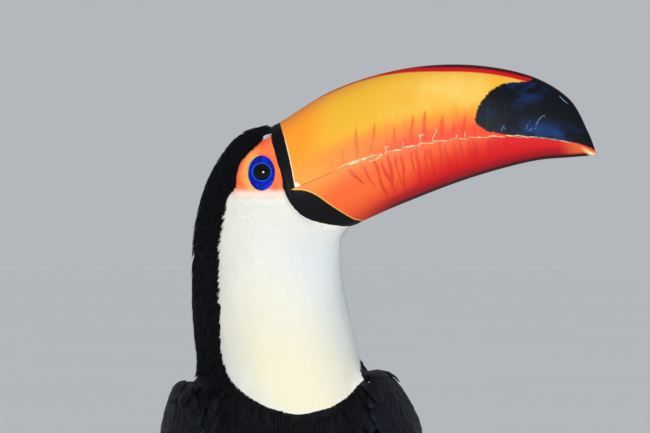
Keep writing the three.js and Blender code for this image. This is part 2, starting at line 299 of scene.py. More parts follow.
def modify(piece, kind, **settings):
    """Adds a modifier and applies it."""
    only(piece)
    modifier = piece.modifiers.new(kind.lower(), kind)
    for key, value in settings.items():
        setattr(modifier, key, value)
    bpy.ops.object.modifier_apply(modifier=modifier.name)


def new_piece(name, mesh):
    piece = bpy.data.objects.new(name, mesh)
    bpy.context.scene.collection.objects.link(piece)
    return piece


def piece_from(name, places, faces):
    mesh = bpy.data.meshes.new(name)
    mesh.from_pydata(places, [], faces)
    return new_piece(name, mesh)


def applied(name):
    """Names the primitive just added and moves its place into its mesh."""
    piece = bpy.context.object
    piece.name = name
    bpy.ops.object.transform_apply(location=True, rotation=True, scale=True)
    return piece


def remesh(piece, voxel, rounds):
    """Fuses a piece's parts into one closed surface of even faces and smooths it."""
    piece.data.remesh_voxel_size = voxel
    only(piece)
    bpy.ops.object.voxel_remesh()
    modify(piece, "SMOOTH", factor=0.5, iterations=rounds)


def cut(piece, place, way, **cleared):
    """Cuts a piece by a plane, clears one side and closes the cut."""
    edit(piece, lambda: bpy.ops.mesh.bisect(plane_co=place, plane_no=way, use_fill=True, **cleared))


def unwrap(piece, margin):
    edit(piece, lambda: bpy.ops.uv.smart_project(angle_limit=math.radians(66), island_margin=margin))
    piece.data.uv_layers[0].name = "OFBake"


def copy_of(name, *nodes):
    """One new piece made of merged copies of solid nodes."""
    copies = []
    for node in nodes:
        piece = new_piece(name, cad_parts[node].data.copy())
        piece.data.materials.clear()
        copies.append(piece)
    only(*copies)
    if len(copies) > 1:
        bpy.ops.object.join()
    joined = bpy.context.object
    joined.name = name
    edit(joined, lambda: bpy.ops.mesh.remove_doubles(threshold=1e-6))
    return joined


print(len(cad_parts), "solid nodes to replace")

# %% [markdown]
# ## Meshes as arrays
# A mesh has thousands of points, and asking for them one at a time is slow. numpy takes them
# all at once, works on them in one formula and puts them back.


# %% Points, attributes and smooth steps
def points_of(piece, what="co"):
    found = np.empty(3 * len(piece.data.vertices), np.float32)
    piece.data.vertices.foreach_get(what, found)
    return found.reshape(-1, 3).astype(float)


def move_points(piece, places):
    piece.data.vertices.foreach_set("co", np.asarray(places, np.float32).ravel())
    piece.data.update()


def normals_of(piece):
    return points_of(piece, "normal")


def write_attribute(piece, name, values):
    layer = piece.data.attributes.new(name, "FLOAT", "POINT")
    layer.data.foreach_set("value", np.asarray(values, np.float32))


def between(values, low, high):
    """0 below low, 1 above high and smooth between; low may be the larger."""
    t = np.clip((values - low) / (high - low), 0, 1)
    return t * t * (3 - 2 * t)


def unit(vectors):
    return vectors / np.maximum(np.linalg.norm(vectors, axis=-1, keepdims=True), 1e-9)


def triangles_in(piece):
    return sum(len(p.vertices) - 2 for p in piece.data.polygons)


def done(piece, slot, *nodes):
    """Makes a finished piece ride on the body and hides the solid nodes it stands for; slot is not used."""
    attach(piece, "root")
    if nodes:
        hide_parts(*nodes)
    print(piece.name, triangles_in(piece), "triangles")


print("a smooth step is", between(0.25, 0, 1), "a quarter of the way up")

# %% [markdown]
# ## One skin under the whole coat
# A stuffed or cast model has one unbroken skin. The solid model is parted into head, neck,
# trunk, thighs and wings, so copies of them are swelled until they touch, fused by a voxel
# remesh and smoothed. The bill and eyes join in, so that the skin runs on under them and no
# gap opens at their edges. The wings' thin ends are cut off, as they would poke through the
# feathers. Sculpting by hand would also work, but it would drift from the solid.

# %% Fuse the flesh
SWELL = 1.0 * MM
VOXEL = 1.6 * MM
BILL_CORE_END = 0.044
WING_CUT_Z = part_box("trunk")[0].z + 0.024

wing_parts = copy_of("wing_parts", "wing_left", "wing_right")
cut(wing_parts, (0, 0, WING_CUT_Z), (0, 0, 1), clear_inner=True)
flesh_nodes = ["head", "neck", "trunk", "thigh_left", "thigh_right"]
skin = copy_of("skin", *flesh_nodes, "bill_upper", "bill_lower", "eye_left", "eye_right")
only(wing_parts, skin)
bpy.ops.object.join()
edit(skin, lambda: bpy.ops.transform.shrink_fatten(value=SWELL))
remesh(skin, VOXEL, 12)
cut(skin, (BILL_CORE_END, 0, 0), (1, 0, 0), clear_outer=True)
print("fused skin:", len(skin.data.polygons), "faces")

# %% [markdown]
# ## Outlines shared by the bill, the face and the feathers
# The head's markings meet along a few clear lines: where the feathers stop at the bill, where
# the bare face stops, and where the white bib stops. Each is a short list of side-view points,
# X and Z in millimetres, joined by a smooth curve. Skin, bill and feathers all measure their
# distance from the same curves, so that their colours always meet.

# %% Smooth outlines
HEAD_Y = sum(corner.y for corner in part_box("bill_upper")) / 2
TIP = (171.2, 451.8)
CULMEN = [
    (-30, 457), (-7.7, 470.6), (23, 489), (60, 500.4), (97, 503.1), (132, 497.3), (155, 484.2),
    (166, 465.5), TIP,
]
TOMIUM = [(-30, 425), (0, 433.2), (35, 447.3), (72, 457.6), (110, 461.8), (140, 461.2), (161, 457), TIP]
KEEL = [(-30, 396), (8, 404), (33, 412.4), (60, 424), (97, 438.2), (133, 448.2), (158, 450.9), TIP]
FEATHER_LINE = [
    (34, 411.2), (19, 411.6), (5.2, 416.2), (-3.6, 426.4), (-6.6, 438), (-10.6, 456), (-17, 478),
]
FACE = [
    (-13.6, 463.4), (-12.2, 458.2), (-9.7, 452.4), (-7.4, 446), (-6.6, 440), (-6.2, 434), (-5.6, 429.6),
    (-19, 428.6), (-33.2, 429.6), (-32.3, 436), (-31.9, 442), (-29.8, 448), (-25.2, 453.2),
    (-19.4, 458.4),
]
CURVE_STEPS = 24


def smooth_line(points, closed=False):
    """A Catmull-Rom curve through a list of points, as many short steps."""
    knots = np.array(points, float)
    ends = (knots[-1:], knots[:1]) if closed else (knots[:1], knots[-1:])
    after = knots[1:2] if closed else knots[-1:]
    padded = np.vstack([ends[0], knots, ends[1], after if closed else knots[:0]])
    t = np.linspace(0, 1, CURVE_STEPS, endpoint=False)[:, None]
    parts = []
    for a, b, c, d in zip(padded, padded[1:], padded[2:], padded[3:]):
        curve = 2 * b + (c - a) * t + (2 * a - 5 * b + 4 * c - d) * t**2 + (3 * b - a - 3 * c + d) * t**3
        parts.append(curve / 2)
    return np.vstack([*parts, knots[:1] if closed else knots[-1:]])


def height_on(points, x):
    """Height in millimetres of a left-to-right outline at each x."""
    line = smooth_line(points)
    return np.interp(x, line[:, 0], line[:, 1])


def past_line(points, x, z, closed=False):
    """Signed distance from an outline in millimetres: positive to the right of its direction.

    Also gives how far along the outline the nearest point lies."""
    line = smooth_line(points, closed)
    ahead = np.gradient(line, axis=0)
    run = np.concatenate([[0], np.cumsum(np.hypot(*np.diff(line, axis=0).T))])
    signed, along = np.empty(len(x)), np.empty(len(x))
    for start in range(0, len(x), 4000):
        part = slice(start, start + 4000)
        off = np.stack([x[part], z[part]], 1)[:, None] - line
        near = np.argmin((off**2).sum(2), 1)
        gap = off[np.arange(len(near)), near]
        way = ahead[near]
        right = way[:, 1] * gap[:, 0] - way[:, 0] * gap[:, 1]
        signed[part] = np.sign(right) * np.hypot(*gap.T)
        along[part] = run[near]
    return signed, along


def face_depth(points):
    """How far inside the bare face a point lies, in millimetres, as seen from the side."""
    x, _, z = (points / MM).T
    return past_line(FACE, x, z, closed=True)[0]


def horn_depth(points):
    """How far past the feather line, toward the bill, a point lies in millimetres."""
    x, _, z = (points / MM).T
    return past_line(FEATHER_LINE, x, z)[0]


print("head's middle plane at y =", round(HEAD_Y, 4))

# %% [markdown]
# ## The bib's edge
# The white bib hangs from the chin to the breast. The bird looks over its left shoulder, so
# the bib's middle turns with the neck, from under the bill at the top to the breast's front.
# At each height it covers an arc to both sides of that middle, given here in degrees.

# %% Bib as an arc round the neck
NECK_AXIS = [(300, -2), (314, -3.5), (334, -8), (353, -11.1), (372, -13.6), (391, -15), (440, -15)]
BIB_MIDDLE = [
    (300, 7), (307.6, 7), (310.5, 8.5), (315.6, 10.4), (322, 11.7), (328.8, 14.9), (334.6, 21),
    (343.8, 31.7), (355, 43.2), (372, 58), (392, 78), (410, 90), (440, 90),
]
BIB_ARC = [
    (296, -30), (306, -8), (307.6, 7), (310.5, 21.5), (313, 28.8), (315.6, 35.4), (318, 40.2),
    (322, 46.8), (325.3, 52), (328.8, 56), (334.6, 65), (343.8, 76.3), (355, 86), (361, 90), (372, 100),
    (385, 113), (398, 127), (410, 135.5), (425, 136.5), (440, 136),
]
NECK_MIDDLE_Y = HEAD_Y / MM


def table(rows, z):
    """Straight-line look-up in (height, value) rows."""
    heights, values = zip(*rows)
    return np.interp(z, heights, values)


def neck_radius(points):
    x, y, z = (points / MM).T
    return np.hypot(x - table(NECK_AXIS, z), y - NECK_MIDDLE_Y)


def bib_depth(points):
    """How far inside the bib's edge a point lies, in millimetres; negative outside."""
    x, y, z = (points / MM).T
    turn = np.degrees(np.arctan2(x - table(NECK_AXIS, z), NECK_MIDDLE_Y - y))
    off = np.abs((turn - table(BIB_MIDDLE, z) + 180) % 360 - 180)
    radius = neck_radius(points)
    inside = np.radians(table(BIB_ARC, z) - off) * np.minimum(radius, 46)
    inside = np.minimum(inside, np.where(z < 336, 49.5 - radius, 99))
    below_eye = np.minimum(431.5 - z, 0.8 - face_depth(points))
    return np.minimum(inside, np.where(z > 425, below_eye, 99))


print("bib from z =", BIB_ARC[0][0], "to", BIB_ARC[-1][0], "mm")

# %% [markdown]
# ## Thinning the skin by the coat's depth
# The solids run out to the feather tips, so the skin has to lie deeper, and the coat then
# fills the space between. The coat is thinnest on the face, where the skin is bare, and
# thickest on the back and belly. Under the bill the skin drops well inside the horn.

# %% Thin the skin
EYE = {side: sum(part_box("eye_" + side), Vector()) / 2 for side in ("left", "right")}
EYE_X, EYE_Z = EYE["left"].x / MM, EYE["left"].z / MM
EYE_RADIUS = (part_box("eye_left")[1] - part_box("eye_left")[0]).z / 2
EYE_DEEP = EYE["left"].y - HEAD_Y


def coat_depth(points):
    """The coat's depth in millimetres over each point of the skin."""
    z = points[:, 2] / MM
    featherless = between(face_depth(points), -1.5, 0.3)
    horn = horn_depth(points)
    deep = 2.6 - 0.7 * between(z, 300, 345) - 0.6 * between(z, 415, 440)
    deep = np.where(bib_depth(points) > 0, np.minimum(deep, 1.7), deep)
    deep = deep * (1 - featherless)
    near_horn = between(horn, -7, 0)
    return deep * (1 - 0.75 * near_horn) + 1.7 * between(horn, 0.8, 4)


skin_points = points_of(skin)
deep = coat_depth(skin_points)
move_points(skin, skin_points - normals_of(skin) * (SWELL + deep[:, None] * MM))
modify(skin, "SMOOTH", factor=0.5, iterations=3)
print("coat from", round(deep.min(), 2), "to", round(deep.max(), 2), "mm deep")

# %% [markdown]
# ## A flat map of the skin
# An unwrap lays the skin out flat, so that colours can be baked to an image. Each feather
# later borrows the small patch of this map at its root, which is quicker than unwrapping
# thousands of feathers and gives neighbours the same colours.

# %% Unwrap the skin
unwrap(skin, 0.002)
print("unwrapped", len(skin.data.polygons), "faces")

# %% [markdown]
# ## Lids and the blue ring
# A toco's eye sits in a swollen ring of cobalt skin inside the bare orange face. The ring is a
# flat egg standing on end; its inner rim is a thin paler lid that fits the eyeball. The skin
# near each eye is subdivided and pushed into this profile: eyeball, lid rim, groove, cushion
# and the drop back to the face. The fine wrinkles are left to the material.

# %% Shape the lids
OPENING = {"x": -18.0, "z": 442.2, "half_x": 4.9, "half_z": 4.7}
RING = {"x": -18.1, "z": 441.7, "half_x": 7.6, "half_z": 9.9}
LID_REACH = 17.0


def ellipse(shape, x, z):
    """1 on the ellipse's edge, 0 at its middle."""
    return np.hypot((x - shape["x"]) / shape["half_x"], (z - shape["z"]) / shape["half_z"])


def near_eye(points, reach):
    x, y, z = (points / MM).T
    close = np.hypot(x - EYE_X, z - EYE_Z) < reach
    return close & (np.abs(y - NECK_MIDDLE_Y) > 12)


def select_near_eyes():
    bpy.ops.mesh.select_all(action="DESELECT")
    bpy.ops.object.mode_set(mode="OBJECT")
    inside = near_eye(points_of(skin), LID_REACH)
    skin.data.vertices.foreach_set("select", inside)
    bpy.ops.object.mode_set(mode="EDIT")
    bpy.ops.mesh.select_mode(type="VERT")
    bpy.ops.mesh.subdivide(number_cuts=3, smoothness=0)
    bpy.ops.mesh.vertices_smooth(factor=0.5, repeat=4)


edit(skin, select_near_eyes)
skin_points = points_of(skin)
x, y, z = (skin_points / MM).T
side = np.sign(y - NECK_MIDDLE_Y)
aside = np.abs(y - NECK_MIDDLE_Y)
ring = ellipse(RING, x, z)
opening = ellipse(OPENING, x, z)
from_middle = np.hypot(x - EYE_X, z - EYE_Z)
ball = EYE_DEEP / MM + np.sqrt(np.maximum((EYE_RADIUS / MM) ** 2 - from_middle**2, 0))
cushion = 1.0 * between(ring, 1.14, 0.86) - 0.35 * np.exp(-(((ring - 1.16) / 0.05) ** 2))
rim = 0.5 * np.exp(-(((opening - 1.12) / 0.07) ** 2)) - 0.45 * np.exp(-(((opening - 1.3) / 0.06) ** 2))
lidded = aside + cushion + rim * between(opening, 0.98, 1.08)
lidded = np.where(opening < 1.22, np.minimum(lidded, ball + 0.75 * between(opening, 0.96, 1.12)), lidded)
lidded = np.where(opening < 0.97, ball - 1.2, lidded)
shaped = near_eye(skin_points, LID_REACH)
skin_points[shaped, 1] = HEAD_Y + (side * lidded)[shaped] * MM
move_points(skin, skin_points)
print("lids shaped over", int(shaped.sum()), "points")

# %% [markdown]
# ## Markings written on the skin
# The markings are stored on the skin's points as plain distances in millimetres from each
# edge. The material turns a distance into a mask and roughens it with noise, which keeps every
# border sharp at any size. The coat reads the same functions at each feather's root.

# %% Marking distances
BODY_AXIS = [
    (42, 142), (172, 60), (188, 38), (208, 15), (233, -6), (261, -24), (290, -36), (314, -42), (334, -44),
]


def rump_depth(points):
    """How far inside the white rump a point lies, in millimetres."""
    x, y, z = (points / MM).T
    return np.minimum(np.minimum(208 - z, 19 - np.abs(x)), 0.8 * (y - table(BODY_AXIS, z)) - 1.5)


def vent_depth(points):
    """How far inside the red undertail a point lies, in millimetres."""
    _, y, z = (points / MM).T
    return np.minimum(0.6 * (y - 14), 0.8 * (table(BODY_AXIS, z) - y) - 2)


x, _, z = (skin_points / MM).T
write_attribute(skin, "bib_mm", bib_depth(skin_points))
write_attribute(skin, "face_mm", face_depth(skin_points))
write_attribute(skin, "ring", ellipse(RING, x, z))
write_attribute(skin, "opening", ellipse(OPENING, x, z))
off_wings = 15 - np.abs(x)
write_attribute(skin, "rump_mm", np.minimum(rump_depth(skin_points), off_wings))
write_attribute(skin, "vent_mm", vent_depth(skin_points))
only(skin)
bpy.ops.object.shade_smooth()
print("markings:", [layer.name for layer in skin.data.attributes if layer.name.endswith("_mm")])

# %% [markdown]
# ## The skin's finish
# Bare skin is orange round the eye, redder above and behind it, and yellow behind the ring, with
# pebbles and creases in its relief. The ring is cobalt with an azure lid. Under the coat the
# skin takes the coat's own colours, so nothing foreign shows between feathers. Painting the
# layers one over another keeps each rule on a line of its own.

# %% Skin finish
BLACK = rgb(10, 11, 15)
CREAM_WHITE = rgb(231, 230, 221)
WARM_WHITE = rgb(236, 229, 194)
VENT_RED = rgb(206, 26, 26)
ORANGE_SKIN = rgb(250, 112, 64)
RED_SKIN = rgb(240, 84, 50)
YELLOW_SKIN = rgb(255, 178, 92)
COBALT_DARK = rgb(2, 8, 104)
COBALT = rgb(4, 44, 222)
AZURE = rgb(16, 96, 244)

bare = Finish("bare_skin", Roughness=0.55, Specular_IOR_Level=0.18)
skin_x, skin_z = bare.axis("X"), bare.axis("Z")
bib_edge = bare.attribute("bib_mm") + 1.6 * (bare.noise(0.004) - 0.5)
bare.colour = BLACK
bare.paint(bib_edge.between(-0.3, 0.3), CREAM_WHITE)
vent_edge = bare.attribute("vent_mm") + 2 * (bare.noise(0.005) - 0.5)
bare.paint(vent_edge.between(-0.5, 0.5), VENT_RED)
rump_edge = bare.attribute("rump_mm") + 2 * (bare.noise(0.005) - 0.5)
bare.paint(rump_edge.between(-0.5, 0.5), CREAM_WHITE)

mottle = bare.noise(0.0042, detail=4)
orange = bare.mix(mottle.between(0.35, 0.7), ORANGE_SKIN, rgb(252, 128, 72))
redder = (skin_z - 1.1 * skin_x).between(470, 482) * (skin_z.between(438, 452))
orange = bare.mix(redder * 0.85, orange, RED_SKIN)
ring = bare.attribute("ring")
glow = (ring.between(1.75, 1.05)) * skin_x.between(-17, -24)
orange = bare.mix(glow * 0.9, orange, YELLOW_SKIN)
fade = skin_z + 3 * (bare.noise(0.003, detail=3) - 0.5)
orange = bare.mix(fade.between(433.8, 429.6), orange, rgb(244, 222, 206))
face = bare.attribute("face_mm") + 0.5 * (bare.noise(0.002) - 0.5)
bare.paint(face.between(-0.25, 0.25), orange)

rim_line = ring.between(1.09, 1.03) * skin_x.between(-19, -21.5)
bare.paint(rim_line, rgb(250, 214, 74))
pits = bare.noise(0.0013, detail=4, rough=0.7)
shade = bare.noise(0.006, detail=2)
blue = bare.mix((pits + 0.8 * (shade - 0.5)).between(0.32, 0.68), COBALT_DARK, COBALT)
ring_edge = ring + 0.05 * (bare.noise(0.0016) - 0.5)
bare.paint(ring_edge.between(1.02, 0.98), blue)
opening = bare.attribute("opening")
bare.paint(opening.between(1.17, 1.11) * (0.6 + 0.4 * pits), AZURE)
bare.paint(opening.between(1.03, 0.99), rgb(6, 6, 12))
bare.set("Roughness", 0.62 - 0.22 * ring.between(1.1, 0.95))
pebbles = bare.node("ShaderNodeTexVoronoi", {}, {"Vector": bare.place(), "Scale": 1100})
creases = bare.noise(0.003, detail=4, stretch=(1, 1, 0.4))
bare.bump(pebbles * 0.5 + creases, 0.00035, 0.8)
bare.on(skin)
done(skin, "plumage_black", *flesh_nodes)

# %% [markdown]
# ## Eyes
# An eyeball is not one ball: the clear cornea bulges from it. Each eye is a sphere with its
# poles turned to the sides, and the front cap is moved out by a smooth bump. The toco's iris
# is so dark a brown that it hardly parts from the pupil. The wet surface reflects little of the
# room, and the eye's own lamp, which lights only these two spheres, gives it a round glint.


# %% Eyeballs
CORNEA_RADIUS = 4.9 * MM
CORNEA_BULGE = 0.35 * MM
PUPIL_RADIUS = 2.9 * MM


def make_eye(side):
    centre = EYE[side]
    out = 1 if side == "left" else -1
    bpy.ops.mesh.primitive_uv_sphere_add(
        segments=72, ring_count=48, radius=EYE_RADIUS * 0.998, location=centre,
        rotation=(math.radians(90), 0, 0),
    )
    eye = applied("eyeball_" + side)
    places = points_of(eye)
    off = places - np.array(centre)
    radius = np.hypot(off[:, 0], off[:, 2] - (OPENING["z"] * MM - centre.z))
    cap = between(radius, CORNEA_RADIUS, 0) * (off[:, 1] * out > 0)
    places[:, 1] += out * cap * CORNEA_BULGE
    move_points(eye, places)
    write_attribute(eye, "from_pupil", radius / MM)
    bpy.ops.object.shade_smooth()
    return eye


eye_finish = Finish("wet_eye", Roughness=0.05, Specular_IOR_Level=0.1, Coat_Weight=0.25)
from_pupil = eye_finish.attribute("from_pupil")
fibres = eye_finish.noise(0.0012, detail=4)
iris = eye_finish.mix(fibres.between(0.3, 0.7), rgb(7, 5, 5), rgb(18, 11, 9))
iris = eye_finish.mix(from_pupil.between(4.2, 4.9), iris, rgb(8, 6, 8))
eye_finish.colour = rgb(2, 2, 3)
eye_finish.paint(from_pupil.between(PUPIL_RADIUS / MM - 0.2, PUPIL_RADIUS / MM + 0.2), iris)

wet_eyes = bpy.data.collections.new("wet_eyes")
for side in EYE:
    eye = eye_finish.on(make_eye(side))
    wet_eyes.objects.link(eye)
    done(eye, "eye", "eye_" + side)
bpy.data.objects["light_eye_glint"].light_linking.receiver_collection = wet_eyes

# %% [markdown]
# ## The bill's two halves
# The bill is a light horn shell in two halves that meet along a saw-edged cutting line, the
# tomium. Sculpting or a remeshed copy would blur that edge, so each half is lofted: rings of
# points round the half, from the feather line to the tip, with the culmen, tomium and keel
# curves as its rails. Its section is a superellipse. Behind the feather line it tucks under
# the skin, and a slight swelling marks the black rim at its base.

# %% Loft the bill
BILL_BACK = -22.0
HALF_WIDTH = [24.4, 23.8, 22.4, 20.7, 18.6, 16, 12.4, 7.7, 1.2]
BILL_ROWS = 400
BILL_COLUMNS = 168
SEARCH_STEPS = 800
TUCK = 3.0
TEETH = [43.5, 51.5, 61, 71, 78.5, 88, 98, 109, 119, 128, 137]
TOOTH_DEPTH = 1.1


def bite_line(x):
    """Height of the cutting edge: the smooth tomium with a small saw step at each tooth."""
    edge = height_on(TOMIUM, x)
    edges = np.array([20, *TEETH, 150])
    for start, end in zip(edges, edges[1:]):
        inside = (x >= start) & (x < end)
        size = TOOTH_DEPTH * between(np.array(start), 20, 55) * between(np.array(end), 150, 125)
        edge = edge - inside * size * ((x - start) / (end - start) - 0.5)
    return edge


def half_width(x):
    places = np.linspace(BILL_BACK, TIP[0], len(HALF_WIDTH))
    return height_on(list(zip(places, HALF_WIDTH)), x)


def bill_point(x, turn, upper):
    """A point of one half at x millimetres; turn 0 to pi runs over its round side, then back."""
    line, power, narrow, gap = (CULMEN, 2.35, 1.0, 0.05) if upper else (KEEL, 2.1, 0.995, -0.05)
    flat = bite_line(x) + gap
    tall = np.maximum(np.abs(height_on(line, x) - flat), 0.35) * (1 if upper else -1)
    c, s = np.cos(turn), np.sin(turn)
    across = np.sign(c) * np.abs(c) ** (2 / power) * half_width(x) * narrow
    up = np.maximum(s, 0) ** (2 / power) * tall
    return across, flat + up


def make_bill_half(name, upper):
    turns = np.concatenate([
        np.linspace(0, np.pi, BILL_COLUMNS * 3 // 4, endpoint=False),
        np.linspace(np.pi, 2 * np.pi, BILL_COLUMNS // 4, endpoint=False),
    ])
    fine = np.linspace(BILL_BACK, TIP[0], SEARCH_STEPS)
    places = np.empty((BILL_ROWS, len(turns), 3))
    share = np.linspace(0, 1, BILL_ROWS)
    for column, turn in enumerate(turns):
        across, height = bill_point(fine, np.full(SEARCH_STEPS, turn), upper)
        past = past_line(FEATHER_LINE, fine, height)[0]
        start = fine[np.argmax(past > -TUCK)]
        x = start + (TIP[0] - start) * np.sin(share * np.pi / 2) ** 0.9
        across, height = bill_point(x, np.full(BILL_ROWS, turn), upper)
        past = past_line(FEATHER_LINE, x, height)[0]
        tomium, outer = height_on(TOMIUM, x), height_on(CULMEN if upper else KEEL, x)
        middle = tomium + 0.45 * (outer - tomium)
        swell = 1 + 0.022 * np.exp(-(((past - 2.6) / 2.2) ** 2)) - 0.07 * between(past, 0.3, -TUCK)
        places[:, column] = np.stack(
            [x, NECK_MIDDLE_Y + across * swell, middle + (height - middle) * swell], 1
        )
    rows, columns = places.shape[:2]
    corner = np.arange(rows * columns).reshape(rows, columns)
    after = np.roll(corner, -1, 1)
    faces = np.stack([corner[:-1], after[:-1], after[1:], corner[1:]], -1).reshape(-1, 4).tolist()
    if not upper:
        faces = [face[::-1] for face in faces]
    ends = [corner[0][::-1].tolist(), corner[-1].tolist()]
    faces += ends if upper else [end[::-1] for end in ends]
    half = piece_from(name, (places.reshape(-1, 3) * MM).tolist(), faces)
    edit(half, lambda: bpy.ops.mesh.normals_make_consistent(inside=False))
    bpy.ops.object.shade_smooth_by_angle(angle=math.radians(50))
    return half


bill_halves = {"upper": make_bill_half("horn_upper", True), "lower": make_bill_half("horn_lower", False)}
print("bill halves:", [triangles_in(half) for half in bill_halves.values()], "triangles")

# %% [markdown]
# ## Markings on the horn
# Each marking is again a distance stored on the bill's points: past the black rim, into the
# navy tip spot, above the cutting edge, below the ridge. The brown streaks above the cutting
# edge and the red ones below it are spindles, each set out by its place, height and width.

# %% Horn outlines
RIM_EDGE = [(-9.5, 475), (-8, 470.4), (-4.8, 459), (-1.7, 446.1), (0.6, 433.8), (2, 428)]
JAW_BLACK = [
    (-9, 433), (0.1, 432.2), (5.9, 431.8), (12.4, 429.2), (22.8, 422.1), (33.2, 415.9), (38, 414.6),
    (45, 410),
]
SPOT = [
    (173, 453.6), (160, 458.4), (141.3, 460.7), (125.4, 462.4), (110.1, 465.1), (103.3, 469.1),
    (102, 473), (104.8, 481), (111.9, 488.7), (119.2, 492.3), (127, 493.2), (133.5, 494.3), (139, 501),
]
SCALLOP = {"from": 56, "to": 104, "each": 3.7, "deep": 0.9}
UPPER_STREAKS = [
    (21.5, 6, 0.6, -0.05), (27, 14, 0.8, 0.0), (35.6, 21, 1.4, -0.03), (42.5, 21, 1.4, 0.17),
    (56, 15, 1.6, 0.06), (66, 19, 1.5, 0.03), (73.5, 20, 1.4, 0.0), (83, 16, 1.6, 0.05), (89, 10, 1.0, 0.1),
    (95, 14, 1.5, 0.06), (101, 9, 1.1, 0.1),
]
LOWER_STREAKS = [
    (28.5, 14, 1.3, 0.85), (37, 18, 0.8, 0.5), (44.3, 28, 1.2, 0.33), (48.3, 20, 0.8, 0.3),
    (52.3, 28, 1.2, 0.2), (56.4, 22, 0.9, 0.2), (60, 26, 1.2, 0.12), (64.9, 17, 0.9, 0.22),
    (68.5, 25, 1.3, 0.12), (73, 20, 0.9, 0.15), (76, 22, 1.2, 0.15), (81, 18, 0.9, 0.2), (84.5, 22, 1.2, 0.2),
    (89.2, 17, 0.9, 0.2), (93, 20, 1.2, 0.2), (97.5, 15, 0.9, 0.2), (101, 18, 1.2, 0.15),
    (109, 15, 1.1, 0.15), (118, 12, 1.0, 0.1),
]


def spindles(streaks, x, away):
    """How deep a point lies in a streak, at a height (or depth) away from the cutting edge."""
    deepest = np.zeros(len(x))
    for place, reach, width, lean in streaks:
        share = np.clip(away / reach, 0, 1)
        here = 0.9 * width * np.sin(np.pi * share**0.75) ** 0.8 + 0.05
        across = np.abs(x - place - lean * away - 0.35 * np.sin(away / 3.1 + 0.7 * place)) / (2 * here)
        deepest = np.maximum(deepest, (1 - across) * between(away, 0.5, 3) * (share < 1))
    return deepest


def write_horn(half, upper):
    x, _, z = (points_of(half) / MM).T
    away = (z - bite_line(x)) * (1 if upper else -1)
    write_attribute(half, "from_bite", away)
    write_attribute(half, "past_rim", -past_line(RIM_EDGE, x, z)[0])
    if upper:
        spot, run = past_line(SPOT, x, z)
        on_side = between(run, SCALLOP["from"], SCALLOP["from"] + 6)
        on_side *= between(run, SCALLOP["to"] + 6, SCALLOP["to"])
        uneven = run + 1.1 * np.sin(0.83 * run)
        waves = np.abs(np.sin(np.pi * uneven / SCALLOP["each"])) - 0.6
        deep = SCALLOP["deep"] * (0.65 + 0.35 * np.sin(0.61 * run + 1))
        write_attribute(half, "in_spot", spot + deep * waves * on_side)
        write_attribute(half, "from_ridge", height_on(CULMEN, x) - z)
        write_attribute(half, "streak", spindles(UPPER_STREAKS, x, away))
    else:
        write_attribute(half, "in_black", past_line(JAW_BLACK, x, z)[0])
        write_attribute(half, "from_keel", z - height_on(KEEL, x))
        write_attribute(half, "streak", spindles(LOWER_STREAKS, x, away))


for part, half in bill_halves.items():
    write_horn(half, part == "upper")
print(len(UPPER_STREAKS), "brown streaks and", len(LOWER_STREAKS), "red ones on each side")

# %% [markdown]
# ## What both horns share
# Horn is polished but not wet: it has a weak gloss, a lengthwise grain, ragged streaks full of
# flecks, and a duller edge where it wears. One class holds this for both halves, so that they
# look cut from one stuff though their colours differ.


# %% Horn
class Horn(Finish):
    """Polished horn with what both halves of the bill share."""

    def __init__(self, name, grain_stretch):
        gloss = {"Coat_Weight": 0.05, "Coat_Roughness": 0.25, "Specular_IOR_Level": 0.18}
        super().__init__(name, Roughness=0.36, **gloss)
        self.cloud = self.noise(0.03, detail=2)
        self.grain = self.noise(0.006, detail=4, stretch=(grain_stretch, 1, 1))
        self.ragged = self.noise(0.0035, detail=4, rough=0.65, stretch=(1, 1, 0.45))
        self.flecks = self.noise(0.0012, detail=3, stretch=(1, 1, 0.35)) & 0.8

    def polish(self, dull):
        """Roughness, higher where dull is 1, and the relief of the grain."""
        self.set("Roughness", 0.33 + 0.12 * self.grain + 0.25 * dull)
        fine = self.noise(0.0016, detail=3, stretch=(0.2, 1, 1))
        self.bump(self.grain + 0.4 * fine, 0.00022, 0.6)


HORN_BLACK = rgb(7, 7, 11)
RED_ORANGE = rgb(238, 66, 38)
MAROON = rgb(60, 4, 14)
print("horn gloss is set")

# %% [markdown]
# ## The upper horn
# The upper half is amber at its base, golden higher up with a paler patch that is a painted
# highlight, orange toward the cutting edge and red along the ridge. A navy spot fills the tip, a
# worn cream line runs along the cutting edge and a black rim closes the base. Every border is a
# stored distance with a little noise added, because a clean curve would look like a printed label.

# %% Upper horn finish
AMBER = rgb(250, 152, 44)
GOLD = rgb(232, 176, 50)
PAINTED_HIGHLIGHT_GOLD = rgb(240, 200, 104)
ORANGE = rgb(246, 122, 48)
RED = rgb(206, 14, 26)

upper = Horn("horn_amber", 0.25)
x, z = upper.axis("X"), upper.axis("Z")
bite, ridge = upper.attribute("from_bite"), upper.attribute("from_ridge")
cloud, grain = upper.cloud, upper.grain
golden = bite.between(9, 22) * x.between(2, 24) * (0.75 + 0.5 * cloud)
upper.colour = AMBER
upper.paint(golden, GOLD)
# A paler patch high up the horn: a painted highlight.
pale = bite.between(14, 24) * bite.between(44, 30) * x.between(42, 68) * cloud.between(0.3, 0.62)
upper.paint(pale * 0.75, PAINTED_HIGHLIGHT_GOLD)
shoulder = ridge.between(9, 2) * x.between(60, 10)
upper.paint(shoulder * 0.6, rgb(244, 148, 58))
warm_top = 13.5 + x * 0.015 + 5 * (cloud - 0.5)
warm = (bite - warm_top).between(5, -7) * x.between(0, 42)
upper.paint(warm * 0.85, ORANGE)
hot_top = 2 + x * 0.075 + 4 * (cloud - 0.5)
hot = (bite - hot_top).between(5, -5) * x.between(30, 64)
upper.paint(hot * 0.9, RED_ORANGE)
streak = (upper.attribute("streak") + 0.7 * (upper.ragged - 0.5)).between(0.28, 0.84)
streak_colour = upper.mix(x.between(40, 78), rgb(208, 108, 40), rgb(222, 58, 34))
